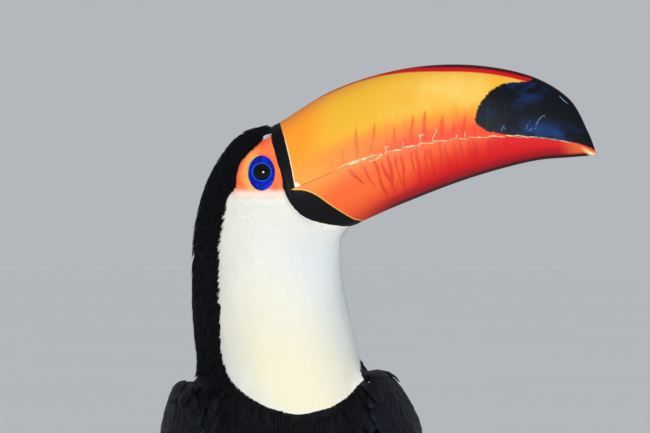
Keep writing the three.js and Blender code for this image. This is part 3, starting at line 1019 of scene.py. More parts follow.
upper.paint(streak * (0.3 + 0.8 * upper.flecks), streak_colour)
faint = upper.noise(0.005, detail=3, stretch=(1, 1, 0.18)).between(0.56, 0.7)
faint = faint * bite.between(26, 8) * x.between(24, 50)
upper.paint(faint * 0.3, streak_colour)
upper.paint(grain.between(0.62, 0.8) * 0.18, rgb(214, 120, 50))

stripe = (0.8 * x.between(4, 24) + 3.5 * x.between(34, 92)) * (1 - 0.45 * x.between(128, 146))
stripe_end = x.between(158, 146)
below = ridge - stripe - 0.5 * (grain - 0.5)
upper.paint(below.between(0.5, -0.4) * stripe_end, RED)
upper.paint(below.between(-1.7, -3.1) * stripe_end, MAROON)

haze = upper.noise(0.012, detail=5, rough=0.68, stretch=(0.45, 1, 1))
spot = upper.attribute("in_spot") + 1.5 * (upper.noise(0.0028, detail=4) - 0.5)
hazy = haze.between(0.44, 0.66) * (bite.between(14, 4) | (z - 0.5 * x).between(410, 424))
navy = upper.mix(hazy, rgb(5, 9, 17), rgb(16, 52, 104))
navy = upper.mix(x.between(120, 105) * 0.75, navy, rgb(14, 22, 16))
top_edge = upper.mix(ridge.between(1.1, 0.4) * x.between(156, 146), navy, MAROON)
upper.paint(spot.between(-0.5, 0.6), top_edge)

worn = upper.noise(0.0035, detail=4, rough=0.7, stretch=(0.5, 1, 1))
cream_wide = (1.3 + 2.2 * (worn - 0.35)) * x.between(22, 33) * x.between(47, 40)
cream_width = cream_wide + x.between(40, 46) * (0.75 + 1.5 * (worn - 0.5))
cream_line = (cream_width - bite).between(-0.1, 0.25) * x.between(20, 25)
cream = upper.mix(worn.between(0.4, 0.65), rgb(190, 146, 88), rgb(244, 230, 188))
upper.paint(cream_line * (1 - 0.55 * x.between(120, 140)), cream)
gape_line = bite.between(0.45, 0.2) * x.between(25, 21)
upper.paint(gape_line * 0.8, rgb(150, 104, 44))

rim = upper.attribute("past_rim")
pale_edge = rim.between(0.0, 0.1) * (rim + 0.5 * (worn - 0.5)).between(0.6, 0.35)
gape_patch = (x + 0.9 * bite).between(4.6, 3.6) * bite.between(3.2, 2.2) * rim.between(0, 0.3)
upper.paint(((pale_edge * z.between(466, 455)) | gape_patch) * 0.9, rgb(244, 240, 226))
upper.paint(rim.between(0.12, -0.12), HORN_BLACK)
upper.polish(rim.between(0.1, -0.1) | ridge.between(4, 1))
upper.on(bill_halves["upper"])
done(bill_halves["upper"], "bill_upper", "bill_upper")

# %% [markdown]
# ## The lower horn
# The lower half goes from orange at its base through scarlet to deep red, darker along the
# keel, with a cream hook at the very tip and a yellow edge beside its black base.

# %% Lower horn finish
lower = Horn("horn_scarlet", 0.3)
x, z = lower.axis("X"), lower.axis("Z")
bite, keel = lower.attribute("from_bite"), lower.attribute("from_keel")
depth = bite + 0.32 * x + 12 * (lower.cloud - 0.5)
lower.colour = rgb(250, 138, 52)
lower.paint(depth.between(6, 24), rgb(244, 104, 50))
lower.paint(depth.between(28, 50), RED_ORANGE)
deep_red = (bite * 0.9 + 0.5 * x + 14 * (lower.cloud - 0.5)).between(38, 64)
lower.paint(deep_red, rgb(214, 26, 30))
under = keel.between(9, 2.5) * x.between(30, 62)
lower.paint(under * 0.85, rgb(156, 12, 26))
streak = (lower.attribute("streak") + 1.0 * (lower.ragged - 0.5)).between(0.28, 0.86)
streak = streak * (1 - 0.4 * x.between(52, 90))
lower.paint(streak * (0.25 + 0.7 * lower.flecks), rgb(202, 30, 30))
faint = lower.noise(0.005, detail=3, stretch=(1, 1, 0.2)).between(0.55, 0.7) * x.between(30, 50)
lower.paint(faint * 0.3, rgb(184, 22, 24))
tip_orange = x.between(148, 163) * keel.between(0.4, 1.6)
lower.paint(tip_orange * 0.75, rgb(240, 112, 54))
lower.paint(keel.between(2.6, 1.0) * x.between(42, 66), MAROON)
hook = (x + bite * -0.8).between(160.5, 165) * bite.between(3.2, 1.6)
lower.paint(hook, rgb(232, 196, 128))
lower.paint(x.between(165.5, 168), rgb(238, 222, 180))
black = lower.attribute("in_black")
yellow_edge = black.between(-0.85, -0.35) * x.between(46, 38)
lower.paint(yellow_edge * 0.85, rgb(255, 196, 78))
lower.paint(black.between(-0.2, 0.1), HORN_BLACK)
lower.polish(black.between(-0.2, 0.1) | keel.between(5, 1))
lower.on(bill_halves["lower"])
done(bill_halves["lower"], "bill_lower", "bill_lower")

# %% [markdown]
# ## Cracks and flakes in the horn
# Wear lifts thin slivers of pale horn from the cutting edge, in short zigzags that rise from
# its saw teeth, and leaves a few bluish scratches on the dark spot. Each is a thin raised
# strip that follows the horn, laid from a short list of points. Both sides get the same set.

# %% Lay the slivers
PALE_CRACKS = [
    [(41.6, 448.2), (45.5, 448.9), (49.6, 451.6), (47.9, 453.2)],
    [(51.2, 452.3), (51.9, 454.6), (51.2, 456.4), (53.9, 456.9)],
    [(60.6, 455.6), (61.4, 458.3), (61.2, 459.2)],
    [(70.2, 457.8), (71.1, 460.6), (70.6, 462.8), (72.8, 463.4), (73.4, 462.6)],
    [(77.6, 459.4), (78.3, 462.2), (79.8, 464.6), (80, 466.4), (79.4, 467.2)],
    [(91.2, 461.2), (91.9, 462.7), (91.4, 463.3)],
    [(95.8, 461.8), (96.3, 464.2), (97, 465.2)],
    [(104, 462.2), (108, 461.6), (113, 462.9), (117, 461.7)],
    [(121, 462.4), (126, 463.1), (131, 461.9), (137, 462.3)],
    [(24, 443.5), (29, 446.4), (34, 447.6), (38, 449.9)],
]
BLUE_SCRATCHES = [
    [(116.4, 464.2), (117.4, 467.3), (118.2, 468.8), (117.8, 467.2), (119.3, 466.3)],
    [(130.3, 464.8), (131.4, 468.6), (133.2, 471.4), (134.5, 472.4)],
    [(131, 464.6), (133.5, 466.4), (137, 467.2)],
    [(136, 468.2), (138.2, 472.1), (141, 474.6), (141.6, 473.2)],
    [(149.5, 485.6), (152.5, 482.6), (155, 480.6)],
]


def trees_of(*names):
    """Search trees of pieces, for rays and nearest points."""
    depsgraph = bpy.context.evaluated_depsgraph_get()
    return [BVHTree.FromObject(bpy.data.objects[name], depsgraph) for name in names]


def on_horn(trees, side, x, z, proud):
    """A point on one side of the bill, seen from that side; a ray lost in the bite steps up."""
    for step in (0, 0.2, -0.2, 0.4):
        start = Vector((x * MM, HEAD_Y + side * 0.06, (z + step) * MM))
        hits = [tree.ray_cast(start, Vector((0, -side, 0))) for tree in trees]
        found = [(hit[3], hit[0], hit[1]) for hit in hits if hit[0]]
        if found:
            _, spot, normal = min(found, key=lambda entry: entry[0])
            return spot + normal * (proud * MM)
    return start


def lay_slivers(name, lines, width, seed):
    rng = np.random.default_rng(seed)
    trees = trees_of("horn_upper", "horn_lower")
    places, faces = [], []
    for line in lines:
        steps = max(int(sum(math.dist(a, b) for a, b in zip(line, line[1:])) / 0.35), 6)
        knots = np.array(line)
        run = np.concatenate([[0], np.cumsum(np.hypot(*np.diff(knots, axis=0).T))])
        share = np.linspace(0, run[-1], steps)
        flat = np.stack([np.interp(share, run, knots[:, k]) for k in (0, 1)], 1)
        flat += rng.normal(0, 0.08, flat.shape)
        ahead = np.gradient(flat, axis=0)
        aside = np.stack([-ahead[:, 1], ahead[:, 0]], 1)
        aside /= np.linalg.norm(aside, axis=1, keepdims=True)
        taper = np.sin(np.linspace(0.12, 1, steps) * np.pi * 0.93) ** 0.5 * rng.uniform(0.7, 1.25, steps)
        for side in (-1, 1):
            first = len(places)
            for spot, across, size in zip(flat, aside, taper * width / 2):
                for offset, proud in ((-size, 0.0), (0, 0.13), (size, 0.0), (0, -0.25)):
                    x, z = spot + across * offset
                    places.append(on_horn(trees, side, x, z, proud))
            for ring in range(steps - 1):
                for k in range(4):
                    a, b = first + 4 * ring + k, first + 4 * ring + (k + 1) % 4
                    faces.append([a, b, b + 4, a + 4])
            faces.append([first + 3, first + 2, first + 1, first])
            faces.append([first + 4 * (steps - 1) + k for k in range(4)])
    piece = piece_from(name, places, faces)
    edit(piece, lambda: bpy.ops.mesh.normals_make_consistent(inside=False))
    return piece


def split_horn(name, dirt_size, low, dark, pale):
    """Dull torn horn that is dark where dirt noise is below low and pale above 1 - low."""
    finish = Finish(name, Roughness=0.5)
    finish.colour = dark
    finish.paint(finish.noise(dirt_size, detail=3).between(low, 1 - low), pale)
    return finish


pale_horn = split_horn("pale_horn", 0.002, 0.35, rgb(214, 170, 108), rgb(250, 232, 188))
scratched_horn = split_horn("scratched_horn", 0.004, 0.4, rgb(24, 62, 120), rgb(138, 178, 214))
done(pale_horn.on(lay_slivers("horn_slivers", PALE_CRACKS, 0.5, SEED + 5)), "bill_upper")
done(scratched_horn.on(lay_slivers("horn_scratches", BLUE_SCRATCHES, 0.32, SEED + 6)), "bill_upper")

# %% [markdown]
# ## Ground for feathers to grow on
# Every feather needs a root, the skin's direction there, and its place on the skin's unwrap.
# `Ground` holds a mesh as arrays and finds the nearest point on it quickly. Roots are thrown at
# random and kept only if no other root is too near, because an even scatter has no stripes.


# %% Nearest points and even scatter
THROWS = 2.4
CLOSEST = 0.74


class Ground:
    """A mesh that feathers grow on or lie along."""

    def __init__(self, piece):
        mesh = piece.data
        mesh.calc_loop_triangles()
        count = len(mesh.loop_triangles)
        corners, loops = np.empty(3 * count, np.int32), np.empty(3 * count, np.int32)
        mesh.loop_triangles.foreach_get("vertices", corners)
        mesh.loop_triangles.foreach_get("loops", loops)
        self.points, self.normals = points_of(piece), normals_of(piece)
        self.corners = corners.reshape(-1, 3)
        self.tree = BVHTree.FromPolygons(self.points.tolist(), self.corners.tolist())
        if mesh.uv_layers:
            flat = np.empty(2 * len(mesh.loops), np.float32)
            mesh.uv_layers[0].data.foreach_get("uv", flat)
            self.unwrap = flat.reshape(-1, 2)[loops].reshape(-1, 3, 2)

    def nearest(self, places):
        """The nearest points of the mesh, its smooth normals there and the triangles they lie in."""
        found = [self.tree.find_nearest(place) for place in places.tolist()]
        at = np.array([f[0] for f in found])
        triangle = np.array([f[2] for f in found])
        return at, unit(self.normals[self.corners[triangle]].mean(1)), triangle

    def scatter(self, spacing, seed):
        """Evenly scattered roots, spacing(points) millimetres apart and none where it is 0."""
        rng = np.random.default_rng(seed)
        a, b, c = (self.points[self.corners[:, k]] for k in range(3))
        gap = spacing((a + b + c) / 3) * MM
        area = np.linalg.norm(np.cross(b - a, c - a), axis=1) / 2
        weight = np.where(gap > 0, area / np.maximum(gap, 1e-6) ** 2, 0)
        picked = rng.choice(len(area), int(THROWS * weight.sum()), p=weight / weight.sum())
        s, t = np.sqrt(rng.random(len(picked))), rng.random(len(picked))
        shares = np.stack([1 - s, s * (1 - t), s * t], 1)[:, :, None]
        places = (self.points[self.corners[picked]] * shares).sum(1)
        normals = unit((self.normals[self.corners[picked]] * shares).sum(1))
        unwrap = (self.unwrap[picked] * shares).sum(1)
        keep = thin_out(places, CLOSEST * gap[picked])
        return places[keep], normals[keep], unwrap[keep]


def thin_out(places, gap):
    """Indices of places kept so that each is at least its gap from those kept before it."""
    cell = gap.max()
    cells, kept = {}, []
    keys = np.floor(places / cell).astype(int).tolist()
    spots, limits = places.tolist(), (gap**2).tolist()
    steps = [(i, j, k) for i in (-1, 0, 1) for j in (-1, 0, 1) for k in (-1, 0, 1)]
    for index, (spot, key, limit) in enumerate(zip(spots, keys, limits)):
        near = (n for i, j, k in steps for n in cells.get((key[0] + i, key[1] + j, key[2] + k), ()))
        if all(sum((p - q) ** 2 for p, q in zip(spot, other)) >= limit for other in near):
            cells.setdefault(tuple(key), []).append(spot)
            kept.append(index)
    return kept


skin_ground = Ground(skin)
print("ground has", len(skin_ground.corners), "triangles")

# %% [markdown]
# ## The lie of the coat
# Feathers point away from the bill, over the crown, down the neck and back along the body. As
# in grooming, a few guides each give a direction at a place, and every root takes the mix of
# the guides near it, laid flat on the skin there.

# %% Guides for the lie
GUIDES = [
    ((-12, -46, 472), (-1, 0, 0.15)), ((-38, -46, 466), (-0.9, 0, -0.4)), ((-54, -46, 440), (-0.3, 0, -1)),
    ((-26, -68, 458), (-0.9, 0, -0.35)), ((-26, -24, 458), (-0.9, 0, -0.35)),
    ((-38, -66, 440), (-0.5, 0, -0.9)), ((-38, -26, 440), (-0.5, 0, -0.9)),
    ((-16, -70, 426), (-0.25, 0, -1)), ((-16, -22, 426), (-0.25, 0, -1)),
    ((8, -68, 412), (-0.4, -0.1, -1)), ((8, -24, 412), (-0.4, 0.1, -1)), ((28, -46, 404), (-0.3, 0, -1)),
    ((-58, -46, 400), (0, 0, -1)), ((-15, -88, 390), (0, 0, -1)), ((-15, -4, 390), (0, 0, -1)),
    ((28, -46, 380), (0, 0, -1)), ((-56, -46, 350), (-0.05, 0.1, -1)), ((34, -46, 350), (0.1, 0, -1)),
    ((-8, -94, 330), (0, -0.1, -1)), ((0, -94, 296), (0, 0.12, -1)), ((-40, -60, 300), (0, 0.2, -1)),
    ((40, -60, 300), (0, 0.2, -1)), ((0, -72, 250), (0, 0.55, -1)), ((0, -20, 205), (0, 1, -0.7)),
    ((0, 40, 172), (0, 1, -0.7)), ((0, 8, 300), (0, 0.35, -1)), ((0, 35, 250), (0, 0.7, -1)),
    ((0, 70, 200), (0, 1, -0.8)), ((31, -20, 215), (0, 0.15, -1)), ((-31, -20, 215), (0, 0.15, -1)),
]


def lie_at(places, normals, wander, rng):
    """The direction of the coat at each place, flat on the skin and turned by up to wander."""
    spots = np.array([spot for spot, _ in GUIDES]) * MM
    ways = unit(np.array([way for _, way in GUIDES], float))
    pull = 1 / (((places[:, None] - spots) ** 2).sum(2) + (9 * MM) ** 2) ** 2
    way = (pull[:, :, None] * ways).sum(1)
    way = unit(way - (way * normals).sum(1, keepdims=True) * normals)
    turn = rng.normal(0, wander, len(places))[:, None]
    return unit(way + np.cross(normals, way) * turn)


print(len(GUIDES), "guides for the lie")

# %% [markdown]
# ## Tufts: hair-like locks and small vanes
# The bib and face feathers are so fine that they read as fur: each lock is a few thin spikes
# that share a root. Body feathers are small vanes with a shaft ridge and a frayed tip. Every
# shape is closed, tapers to its tip and has only a few dozen faces. A handful of shapes are
# made once, then laid at every root by numpy, since placing thousands by operator is too slow.


# %% Tuft shapes
class Shape:
    """A closed tuft in its own terms: along 0 to 1, across and high in tuft widths."""

    def __init__(self):
        self.spots, self.faces = [], []

    def spike(self, start, end, root, tip, width, high=0.0, arch=0.5):
        """A three-sided spike from root to tip, given across; start and end are along."""
        first = len(self.spots)
        for share, size in ((0.0, 0.6), (0.5, 1.0)):
            along = start + (end - start) * share
            middle = root + (tip - root) * share
            half = width * size / 2
            self.spots += [(along, middle - half, high), (along, middle, high + 2 * arch * half)]
            self.spots.append((along, middle + half, high))
        self.spots.append((end, tip, high))
        for k in range(3):
            n = (k + 1) % 3
            self.faces.append([first + k, first + n, first + 3 + n, first + 3 + k])
            self.faces.append([first + 3 + k, first + 3 + n, first + 6])
        self.faces.append([first + 2, first + 1, first])

    def vane(self, widths, ring):
        """A leaf of closed sections: widths are (along, width), ring is (across, high)."""
        first, sides = len(self.spots), len(ring)
        for along, width in widths:
            self.spots += [(along, width * across, width * high) for across, high in ring]
        self.spots.append((1.0, 0, 0))
        last, tip = len(widths) - 1, len(self.spots) - 1
        for level in range(len(widths)):
            for k in range(sides):
                a, b = first + sides * level + k, first + sides * level + (k + 1) % sides
                self.faces.append([a, b, b + sides, a + sides] if level < last else [a, b, tip])
        self.faces.append([first + k for k in reversed(range(sides))])


DIAMOND = [(-0.5, -0.05), (0, 0.07), (0.5, -0.05), (0, -0.06)]
CAMBERED = [(-0.5, -0.06), (-0.27, 0.03), (0, 0.08), (0.27, 0.03), (0.5, -0.06), (0, -0.06)]


def hair_lock(hairs, rng):
    shape = Shape()
    for root in np.linspace(-0.42, 0.42, hairs):
        tip = root * rng.uniform(0.7, 1.4) + rng.normal(0, 0.07)
        reach = rng.uniform(0.84, 1.0)
        wide = rng.uniform(0.25, 0.33)
        shape.spike(0.0, reach, root * 0.9, tip, wide, rng.uniform(0, 0.03), arch=0.18)
    return shape


def small_vane(rng):
    shape = Shape()
    wide = rng.uniform(0.85, 1.1)
    widths = [(0.0, 0.25 * wide), (0.28, 0.8 * wide), (0.58, wide), (0.8, 0.86 * wide), (0.93, 0.5 * wide)]
    shape.vane(widths, DIAMOND)
    for tip in (-0.34, 0.3):
        shape.spike(0.62, rng.uniform(0.92, 1.04), tip * 0.7, tip + rng.normal(0, 0.06), 0.12)
    return shape


def scale_vane(rng):
    shape = Shape()
    wide = rng.uniform(0.92, 1.08)
    widths = [(0.0, 0.4), (0.25, 0.84), (0.55, 1.0), (0.8, 0.9), (0.93, 0.62), (0.985, 0.3)]
    shape.vane([(along, width * wide) for along, width in widths], CAMBERED)
    return shape


shape_rng = np.random.default_rng(SEED)
FINE_LOCKS = [hair_lock(5, shape_rng) for _ in range(6)]
COARSE_LOCKS = [hair_lock(4, shape_rng) for _ in range(6)]
SMALL_VANES = [small_vane(shape_rng) for _ in range(6)]
SCALES = [scale_vane(shape_rng) for _ in range(4)]
print("faces in one tuft:", [len(kind[0].faces) for kind in (FINE_LOCKS, COARSE_LOCKS, SMALL_VANES, SCALES)])

# %% [markdown]
# ## Laying tufts along a body
# Each tuft starts a little below the ground, follows it halfway and ends just above it, so the
# coat hugs the body. A tuft that would crumple at a sharp turn is tried at half its length,
# and left out if that fails too. Fine down scatters light all round, so plush tufts are shaded
# partly like the body under them. Hair curves would be quicker to comb, but they aren't a mesh.

# %% Laying tufts along a body
PATCH = 0.003
SINK = 0.35 * MM


def build_mesh(name, places, faces, patches, **attributes):
    """A piece from arrays, with one spot of the skin's unwrap per point."""
    piece = piece_from(name, places.tolist(), faces)
    mesh = piece.data
    layer = mesh.uv_layers.new(name="OFBake")
    loop_points = np.empty(len(mesh.loops), np.int32)
    mesh.loops.foreach_get("vertex_index", loop_points)
    spots = np.clip(np.vstack(patches), 0.001, 0.999).astype(np.float32)
    layer.data.foreach_set("uv", spots[loop_points].ravel())
    for key, values in attributes.items():
        write_attribute(piece, key, values)
    mesh.shade_smooth()
    return piece


def lay_tufts(ground, places, normals, way, length, rise, turn):
    """Where each tuft bends and ends, and whether it can lie there without crumpling."""
    start = places - normals * SINK
    reach = way * length[:, None]
    middle, middle_normal, _ = ground.nearest(places + reach / 2)
    end, end_normal, _ = ground.nearest(places + reach)
    strayed = np.linalg.norm(end - places - reach, axis=1) / length
    middle = middle + middle_normal * (0.66 * rise)[:, None]
    end = end + end_normal * rise[:, None]
    bend = 2 * middle - (start + end) / 2
    laid_far = np.linalg.norm(end - start, axis=1) / length
    sound = (laid_far > 0.8) & (laid_far < 1.2) & ((normals * end_normal).sum(1) > turn) & (strayed < 0.4)
    return bend, end, end_normal, sound


def grow(name, ground, roots, shapes, length, width, rise, wander=0.1, plush=0.0, way=None, turn=0.6):
    """Lays one tuft at each root: along the coat's lie, hugging the ground, tip at `rise`.

    With plush above 0 the tufts are shaded partly like the body under them, as fine down is.
    Where the ground turns so fast that a tuft would crumple, a half as long one is tried."""
    rng = np.random.default_rng(SEED + len(name))
    places, normals, unwrap = roots
    way = lie_at(places, normals, wander, rng) if way is None else way
    vary = rng.uniform(0.88, 1.12, (3, len(places)))
    length, width, rise = (np.broadcast_to(v, len(places)) * r for v, r in zip((length, width, rise), vary))
    bend, end, end_normal, sound = lay_tufts(ground, places, normals, way, length, rise, turn)
    rest = np.flatnonzero(~sound)
    if len(rest):
        again = lay_tufts(ground, places[rest], normals[rest], way[rest], length[rest] / 2, rise[rest], turn)
        bend[rest], end[rest], end_normal[rest], sound[rest] = again
        width[rest] *= 0.7
    start = places - normals * SINK
    kind = rng.integers(0, len(shapes), len(places))
    tone = rng.random(len(places))
    parts, faces, patches, alongs, tones, ups, first = [], [], [], [], [], [], 0
    for number, shape in enumerate(shapes):
        mine = np.flatnonzero((kind == number) & sound)
        spots = np.array(shape.spots)
        a = spots[:, 0][None, :, None]
        curve = (1 - a) ** 2 * start[mine, None] + 2 * a * (1 - a) * bend[mine, None] + a**2 * end[mine, None]
        up = unit((1 - a) * normals[mine, None] + a * end_normal[mine, None])
        across = unit(np.cross((end - start)[mine, None], up))
        size = width[mine, None, None]
        laid = curve + across * size * spots[:, 1][None, :, None] + up * size * spots[:, 2][None, :, None]
        parts.append(laid.reshape(-1, 3))
        ups.append(up.reshape(-1, 3))
        patch = unwrap[mine, None] + PATCH * np.stack([spots[:, 1] * 0.8, spots[:, 0] - 0.5], 1)
        patches.append(patch.reshape(-1, 2))
        alongs.append(np.tile(spots[:, 0], len(mine)))
        tones.append(np.repeat(tone[mine], len(spots)))
        for copy in range(len(mine)):
            base = first + copy * len(spots)
            faces += [[base + corner for corner in face] for face in shape.faces]
        first += len(mine) * len(spots)
    marks = {"along": np.concatenate(alongs), "tone": np.concatenate(tones)}
    piece = build_mesh(name, np.vstack(parts), faces, patches, **marks)
    if plush:
        soft = unit(plush * np.vstack(ups) + (1 - plush) * normals_of(piece))
        piece.data.normals_split_custom_set_from_vertices(soft.tolist())
    return piece


print("a tuft's colour patch is", PATCH, "of the skin's map across")

# %% [markdown]
# ## Plumage finishes
# A feather is painted darker at its root, as painted shade under the feathers that lie over it,
# and lightest near its tip; on the black coats the tip's blue tint is painted sheen. No two
# feathers are quite the same tone, and barbs run along it as a fine grain. Distances and tones
# stored on the tufts carry this. The bib is cream in the middle of the breast, and its sides are
# painted cooler and darker, as painted shade where it turns from the light.


# %% Plumage finishes
def plumage(name, root, tip, roughness=0.6, barb=0.0001, **constants):
    """Feather colour from a root darkened as painted shade to the tip, varying from tuft to tuft."""
    finish = Finish(name, Roughness=roughness, **constants)
    along, tone = finish.attribute("along"), finish.attribute("tone")
    # The darker root colour is painted shade where other feathers lie over it.
    finish.colour = root
    finish.paint(along.between(0.1, 0.8), tip)
    finish.paint(tone * 0.4, root)
    barbs = finish.noise(0.0006, detail=2, stretch=(1, 1, 0.12))
    finish.bump(barbs, barb, 0.4)
    return finish


SHADED_BLACK = rgb(7, 8, 11)
# The blue tint in these tip colours, strongest on the coverts, is painted sheen.
black_plumage = plumage("black_plumage", SHADED_BLACK, rgb(12, 13, 18), Specular_IOR_Level=0.12)
covert_plumage = plumage("covert_plumage", SHADED_BLACK, rgb(14, 17, 27), 0.5, Specular_IOR_Level=0.16)
white_plumage = plumage("rump_plumage", rgb(205, 204, 198), CREAM_WHITE)
red_plumage = plumage("vent_plumage", rgb(120, 8, 12), VENT_RED)
bib_plumage = plumage("bib_plumage", rgb(219, 217, 207), CREAM_WHITE, 0.8, 0.00012, Specular_IOR_Level=0.2)
x, z = bib_plumage.axis("X"), bib_plumage.axis("Z")
middle = (abs(x - 0.45 * (330 - z)) / 52).between(1.0, 0.1)
cloud = bib_plumage.noise(0.03, detail=2)
# Away from the middle the bib is painted cooler and darker: painted shade where it turns from the light.
bib_plumage.paint((1 - middle) * z.between(425, 390) * 0.8, rgb(214, 224, 228))
bib_plumage.paint(z.between(400, 325) * middle * (0.4 + 0.6 * cloud), WARM_WHITE)
print("5 plumages")

# %% [markdown]
# ## The white bib
# A toco's bib is a dense plush of hair-like feathers that lie straight down. Fine locks are set
# closely over the masked area. Those at its edge are shorter and closer, and hardly reach past
# it, which keeps the border clean. Real down lets light through, so the locks are set to throw
# no shadows. The bib is split in two pieces to stay light.


# %% Grow the bib
def bib_length(points):
    """Length of the bib's locks in millimetres: shorter under the chin and at the bib's edge."""
    edge = between(bib_depth(points), 10, 2.5)
    return (7.4 - 4.0 * between(points[:, 2] / MM, 405, 428)) * (1 - 0.5 * edge)


def bib_spacing(points):
    z = points[:, 2] / MM
    fine = 1.3 - 0.3 * between(z, 405, 428) - 0.15 * between(bib_depth(points), 6, 1)
    tips = points.copy()
    tips[:, 2] -= 0.85 * bib_length(points) * MM
    inside = (bib_depth(points) > -0.2) & (bib_depth(tips) > -0.6)
    return np.where(inside & (horn_depth(points) < 1.0), fine, 0)


bib_roots = skin_ground.scatter(bib_spacing, SEED + 1)
upper_half = bib_roots[0][:, 2] > np.median(bib_roots[0][:, 2])
for part, half in (("upper", upper_half), ("lower", ~upper_half)):
    roots = [column[half] for column in bib_roots]
    long = bib_length(roots[0]) * MM
    wide = (1.3 + 0.6 * between(roots[0][:, 2] / MM, 428, 405)) * between(long / MM, 0, 6) * MM
    rise = 0.4 * coat_depth(roots[0]) * MM
    piece = grow("bib_" + part, skin_ground, roots, FINE_LOCKS, long, wide, rise, 0.05, plush=0.93)
    piece.visible_shadow = False
    done(bib_plumage.on(piece), "plumage_bib")

# %% [markdown]
# ## Where feathers meet the bare face
# The bib doesn't stop at the face with a line. Ever smaller down reaches up over the bare skin
# below the eye, and a tiny pale tuft stands where the orange patch ends in a point above.

# %% Down on the face
fringe_plumage = plumage("face_down", rgb(250, 206, 182), CREAM_WHITE, 0.8, 0.00004)


def fringe_spacing(points):
    x, _, z = (points / MM).T
    inside = (face_depth(points) > -1.0) & (ellipse(RING, x, z) > 1.16)
    return np.where(inside & (z > 428.5) & (z < 432.2), 0.8 + 0.2 * np.maximum(z - 429, 0), 0)


def apex_spacing(points):
    x, _, z = (points / MM).T
    off = np.abs(z - (461.3 + 0.36 * (x + 17.5)))
    return np.where((x > -16.6) & (x < -12.8) & (off < 0.9), 0.55, 0)


fringe = skin_ground.scatter(fringe_spacing, SEED + 3)
low_down = between(fringe[0][:, 2] / MM, 432.2, 429)
piece = grow(
    "face_down", skin_ground, fringe, FINE_LOCKS, (1.3 + 1.6 * low_down) * MM, (0.5 + 0.5 * low_down) * MM,
    (0.15 + 0.3 * low_down) * MM, 0.15, plush=0.9,
)
piece.visible_shadow = False
done(fringe_plumage.on(piece), "plumage_bib")
apex_plumage = plumage("apex_down", rgb(196, 208, 222), rgb(222, 232, 242), 0.8)
apex = skin_ground.scatter(apex_spacing, SEED + 4)
back = np.tile([-0.86, 0.0, -0.5], (len(apex[0]), 1))
piece = grow("face_tuft", skin_ground, apex, FINE_LOCKS, 1.5 * MM, 0.8 * MM, 0.5 * MM, plush=0.8, way=back)
done(apex_plumage.on(piece), None)

# %% [markdown]
# ## Wing and tail solids as forms to lie along
# A folded wing is a stack of long stiff feathers. Each is shaped on its own, but all of them
# follow the outer face of the solid wing, so a smoothed copy of that solid serves as a form
# and is thrown away. Places on it are told by how far along the wing they are, from the bend
# to the tip, and how far across, from the front edge to the back. The tail works the same.

# %% Forms
RAY = 0.12
RAY_REACH = 0.16


def form_of(node, voxel):
    form = copy_of("form", node)
    remesh(form, voxel, 8)
    return form


class Form:
    """The outer face of a wing, or the upper face of the tail, with places told as shares."""

    def __init__(self, node, kind, side=1):
        piece = form_of(node, 1.4 * MM)
        self.ground = Ground(piece)
        self.kind, self.side = kind, side
        corners = self.ground.points / MM
        self.low, self.high = corners[:, 2].min() + 1, corners[:, 2].max() - 1
        self.heights = np.linspace(self.low, self.high, 60)
        self.edges = np.array([self.edge_at(height) for height in self.heights])
        met = ~np.isnan(self.edges[:, 0])
        self.heights, self.edges = self.heights[met], self.edges[met]
        soft = np.ones(7) / 7
        padded = np.pad(self.edges, ((3, 3), (0, 0)), "edge")
        self.edges = np.stack([np.convolve(padded[:, k], soft, "valid") for k in (0, 1)], 1)
        bpy.data.objects.remove(piece)

    def rays(self, height, across):
        """Starts and directions of rays onto the form at heights and turns, or widths for a tail."""
        axis = table(BODY_AXIS, height)
        if self.kind == "tail":
            start = np.stack([across, axis + 59, height + 38], 1) * MM
            return start, np.broadcast_to(unit(np.array([0, -0.845, -0.54])), start.shape)
        turn = np.radians(across)
        out = np.stack([self.side * np.sin(turn), -np.cos(turn), 0 * turn], 1)
        return np.stack([0 * turn, axis, height], 1) * MM + out * RAY, -out

    def edge_at(self, height):
        across = np.arange(-32, 32, 0.5) if self.kind == "tail" else np.arange(30, 182, 1.0)
        start, way = self.rays(np.full(len(across), height), across)
        rays = zip(start.tolist(), way.tolist())
        found = across[[self.ground.tree.ray_cast(s, w, RAY_REACH)[0] is not None for s, w in rays]]
        return (found.min(), found.max()) if len(found) else (np.nan, np.nan)

    def at(self, along, across):
        """Points and outward normals, along 0 at the top to 1 at the tip, across 0 to 1."""
        height = self.high - along * (self.high - self.low)
        first, last = (np.interp(height, self.heights, self.edges[:, k]) for k in (0, 1))
        start, way = self.rays(height, first + across * (last - first))
        spots = []
        for s, w in zip(start.tolist(), way.tolist()):
            hit = self.ground.tree.ray_cast(s, w, RAY_REACH)[0]
            spots.append(hit or self.ground.tree.find_nearest(Vector(s) + Vector(w) * 0.075)[0])
        spots, normals, _ = self.ground.nearest(np.array(spots))
        return spots, normals


wings = {"left": Form("wing_left", "wing", 1), "right": Form("wing_right", "wing", -1)}
for side, wing in wings.items():
    print(side, "wing edges", np.round(wing.edges[::15], 1).tolist())
tail_form = Form("tail", "tail")
print("tail edges", np.round(tail_form.edges[::15], 1).tolist())

# %% [markdown]
# ## Long feathers
# A flight feather has a stiff shaft, a vane on each side of it and a rounded tip. Its sections
# are arched, with a narrow raised shaft, and one edge tucks under the next feather. Here and
# there the vane has split, as real ones do. The closed shell is laid on the form by numpy.


